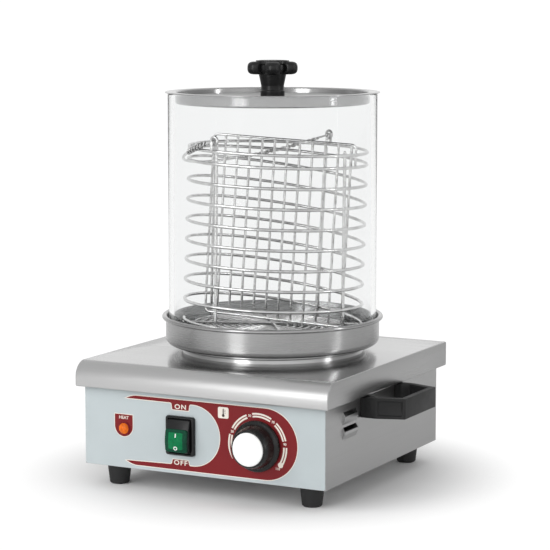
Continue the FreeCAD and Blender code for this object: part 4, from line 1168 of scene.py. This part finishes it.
def text_mesh(body, size, x, z, bold, width=None, spacing=1.0):
    """Generic words and numbers as thin plates standing on the panel."""
    curve = bpy.data.curves.new("word", "FONT")
    curve.body = body
    curve.size = size * MM
    curve.extrude = INK_T / 2 * MM
    curve.offset = bold * MM
    curve.space_character = spacing
    curve.align_x = "CENTER"
    curve.align_y = "CENTER"
    obj = add_object("word", curve)
    mesh = evaluated_mesh(obj)
    bpy.data.objects.remove(obj)
    if width:
        spans = [v.co.x for v in mesh.vertices]
        mesh.transform(Matrix.Diagonal((width * MM / (max(spans) - min(spans)), 1, 1, 1)))
    centre = Vector((x, sum(ink_layer(1)) / 2, z))
    mesh.transform(Matrix.Translation(centre * MM) @ Matrix.Rotation(math.radians(90), 4, "X"))
    return mesh


def words_piece(name, meshes, material):
    merged = bmesh.new()
    for mesh in meshes:
        merged.from_mesh(mesh)
    bmesh.ops.remove_doubles(merged, verts=merged.verts, dist=1e-7)
    out = bpy.data.meshes.new(name)
    merged.to_mesh(out)
    merged.free()
    out.materials.append(material)
    obj = add_object(name, out)
    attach(obj, "housing")


def print_scale(marks):
    """Double arc round the dial, broken at each number, tapered at its start and blobbed at its end."""
    arcs = Shape()
    gap, wide = 6.0, 1.6
    outer_line, inner_line, end_angle = 29.4, 26.9, -33.4
    spans = [(mark - gap, after + gap) for mark, after in zip(marks, marks[1:-1])]
    spans.append((marks[3] - gap, end_angle))
    for start, stop in spans:
        for radius in (outer_line, inner_line):
            stroke(arcs, arc(DIAL_X, DIAL_Z, radius, start, stop, int((start - stop) / 2.5)), wide)
    taper = [0.3 + 1.3 * min(1.0, k / 8) for k in range(19)]
    for radius, start in ((outer_line, 209), (inner_line, 196)):
        stroke(arcs, arc(DIAL_X, DIAL_Z, radius, start, marks[0] + gap, 18), taper)
    tip = polar((outer_line + inner_line) / 2, end_angle)
    fill(arcs, arc(DIAL_X + tip.x, DIAL_Z + tip.y, 2.6, 0, 345, 23), 2)
    ink_piece(arcs, "print_scale", INK_CREAM)


def print_thermometer():
    icon = Shape()
    fill(icon, rounded(box_corners(17.0, 28.0, 77.0, 87.4, 1.6), 4), 1)
    ink_piece(icon, "print_icon", INK_CREAM)
    stem = Shape()
    fill(stem, rounded([(21.95, 80.0, 0), (23.05, 80.0, 0), (23.05, 85.9, 0.5), (21.95, 85.9, 0.5)], 4), 2)
    fill(stem, arc(22.5, 79.6, 1.35, 0, 345, 23), 2)
    for tick in (82.0, 83.4, 84.8):
        fill(stem, [(23.7, tick - 0.2), (25.0, tick - 0.2), (25.0, tick + 0.2), (23.7, tick + 0.2)], 2)
    ink_piece(stem, "print_thermometer", INK_DARK)


def make_print():
    field = field_outline()
    middle, half, top, turn_z = -83.4, 10.0, 71.4, 59.9
    bowl = arc(middle, turn_z, half, 180, 360, 24)
    shield = [(middle - half, top)] + bowl + [(middle + half, top)]
    red = Shape()
    fill(red, field, 0)
    fill(red, shield, 0)
    ink_piece(red, "print_red", INK_RED)

    cream = Shape()
    stroke(cream, field, 0.7, closed=True)
    stroke(cream, shield, 0.6, closed=True)
    ink_piece(cream, "print_outline", INK_CREAM)

    marks = [157.5, 106.5, 55.5, 8.0, -43.0]
    print_scale(marks)
    print_thermometer()

    words = [text_mesh("ON", 6.1, -22.4, 83.3, 0.13, 12.0, 1.2),
             text_mesh("OFF", 6.0, -22.5, 30.9, 0.13, 14.2, 1.2),
             text_mesh("HEAT", 4.2, middle, 68.0, 0.05)]
    for mark, label in zip(marks, ("30", "50", "70", "90", "110")):
        at = polar(28.1, mark)
        words.append(text_mesh(label, 3.1, DIAL_X + at.x, DIAL_Z + at.y, 0.07))
    words_piece("print_words", words, INK_CREAM)


# ---- carried-over CAD nodes -----------------------------------------------------------------
DRESSED = (
    (STEEL_SIDE, "body_shell"),
    (STEEL_BACK, "back_panel", "bottom_plate"),
    (FOIL, "front_overlay"),
    (RUBBER, "foot_front_left", "foot_rear_left", "foot_front_right", "foot_rear_right"),
    (STEEL_PLAIN, "foot_screws", "casing_screws", "handle_screws", "lid_screw", "rocker_pin",
     "thermostat_shaft", "thermostat_body", "heater_clamp", "lamp_holder"),
    (BLACK, "switch_body", "cable_gland", "gland_nut", "gland_locknut"),
    (BRASS, "earth_stud"),
    (COPPER, "tank_probe"),
    (ALLOY, "heat_spreader"),
    (SHEATH, "heating_element"),
    (CREAM_BLOCK, "terminal_block"),
    (LEAD_RED, "wiring"),
)


def dress_nodes():
    for material, *names in DRESSED:
        for name in names:
            data = NODES[name].data
            data.materials.clear()
            data.materials.append(material)
            data.polygons.foreach_set("material_index", [0] * len(data.polygons))


# ---- studio ---------------------------------------------------------------------------------
def look_at(obj, target):
    direction = Vector(target) - obj.location
    obj.rotation_mode = "QUATERNION"
    obj.rotation_quaternion = direction.to_track_quat("-Z", "Y")


def make_camera():
    camera = add_object("camera", bpy.data.cameras.new("camera"))
    camera.location = Vector((939.7, -1786.5, 458.3)) * MM
    camera.data.lens = 138.96
    camera.data.sensor_width = 36.0
    camera.data.clip_start = 0.05
    camera.data.clip_end = 60.0
    look_at(camera, Vector((29.95, -38.48, 198.7)) * MM)
    bpy.context.scene.camera = camera


def soft_light(name, place, width, height, power, mirrored=True):
    """Area light aimed at the machine; mirrored says whether reflections show it."""
    data = bpy.data.lights.new(name, "AREA")
    data.shape = "RECTANGLE"
    data.size = width
    data.size_y = height
    data.energy = power
    light = add_object(name, data)
    light.location = place
    light.visible_glossy = mirrored
    look_at(light, (0, 0, 0.2))


def make_world():
    """White for the eye; for reflections bright before and behind with darker sides, dimmer for diffuse."""
    world = bpy.data.worlds.new("studio")
    bpy.context.scene.world = world
    world.use_nodes = True
    g = Nodes(world.node_tree)
    way = g.node("TexCoord").outputs["Generated"]
    forward = g.node("VectorMath", operation="DOT_PRODUCT")
    forward.inputs[1].default_value = (0.4617, -0.887, 0.0)
    g.link(way, forward.inputs[0])
    around = [(0.0, 0.75), (0.08, 0.65), (0.2, 0.38), (0.42, 0.30), (0.62, 0.42), (0.85, 0.85), (1.0, 1.0)]
    level = g.ramp(g.spread(forward.outputs["Value"], -1.0, 1.0), [(at, grey(value)) for at, value in around])
    split = g.node("SeparateXYZ")
    g.link(way, split.inputs[0])
    dome_mix = g.node("Mix", data_type="RGBA")
    dome_mix.inputs[7].default_value = (0.5, 0.5, 0.5, 1.0)
    g.link(g.spread(split.outputs[2], 0.12, 0.6, curve="SMOOTHSTEP"), dome_mix.inputs[0])
    g.link(level, dome_mix.inputs[6])
    lit = g.node("Background")
    g.link(dome_mix.outputs[2], lit.inputs["Color"])
    diffuse = g.node("LightPath").outputs["Is Diffuse Ray"]
    g.link(g.math("MULTIPLY_ADD", diffuse, -0.3, 1.3), lit.inputs["Strength"])
    shown = g.mix_shaders(g.seen(), lit.outputs[0], g.white_light("Background"))
    g.link(shown, g.node("OutputWorld").inputs["Surface"])


def make_floor():
    """Matt white paper that runs out into plain white away from the machine."""
    floor = Shape()
    floor.lathe([(radius, 0) for radius in (0, 200, 500, 1200, 3000, 9000, 26000)], 64, closed=False)
    mesh = bpy.data.meshes.new("floor")
    mesh.from_pydata([[c * MM for c in v] for v in floor.verts], [], floor.faces)
    paper = Graph("paper_white", grey(0.9), 0.9)
    paper.colour(paper.grain(3, 2.0, 0.5), 0.3, 0.7, grey(0.92), grey(0.94))
    length = paper.node("VectorMath", operation="LENGTH")
    paper.link(paper.node("TexCoord").outputs["Object"], length.inputs[0])
    far = paper.spread(length.outputs["Value"], 0.14, 0.27, curve="SMOOTHSTEP")
    shown = paper.mix_shaders(paper.math("MULTIPLY", far, paper.seen()), paper.bsdf.outputs[0],
                              paper.white_light("Emission"))
    paper.link(shown, paper.out.inputs["Surface"])
    mesh.materials.append(paper.mat)
    add_object("floor", mesh)


def make_studio():
    make_world()
    make_floor()
    soft_light("key_left", (-1.5, -1.7, 1.5), 1.4, 1.4, 24, mirrored=False)
    soft_light("panel_front", (-0.5, -2.7, 0.6), 0.8, 1.9, 18)
    soft_light("strip_right", (1.9, 0.35, 0.7), 0.08, 1.3, 3.5)
    soft_light("top", (0.1, 0.2, 2.4), 1.8, 1.8, 7, mirrored=False)
    view = bpy.context.scene.view_settings
    view.view_transform = "Standard"
    view.exposure = 0.0


make_camera()
make_studio()
dress_nodes()
make_top_plate()
make_tank()
make_pan()
make_glass()
make_lid()
make_lid_knob()
make_basket()
make_switch()
make_rocker()
make_lamp()
make_dial()
make_handles()
make_print()
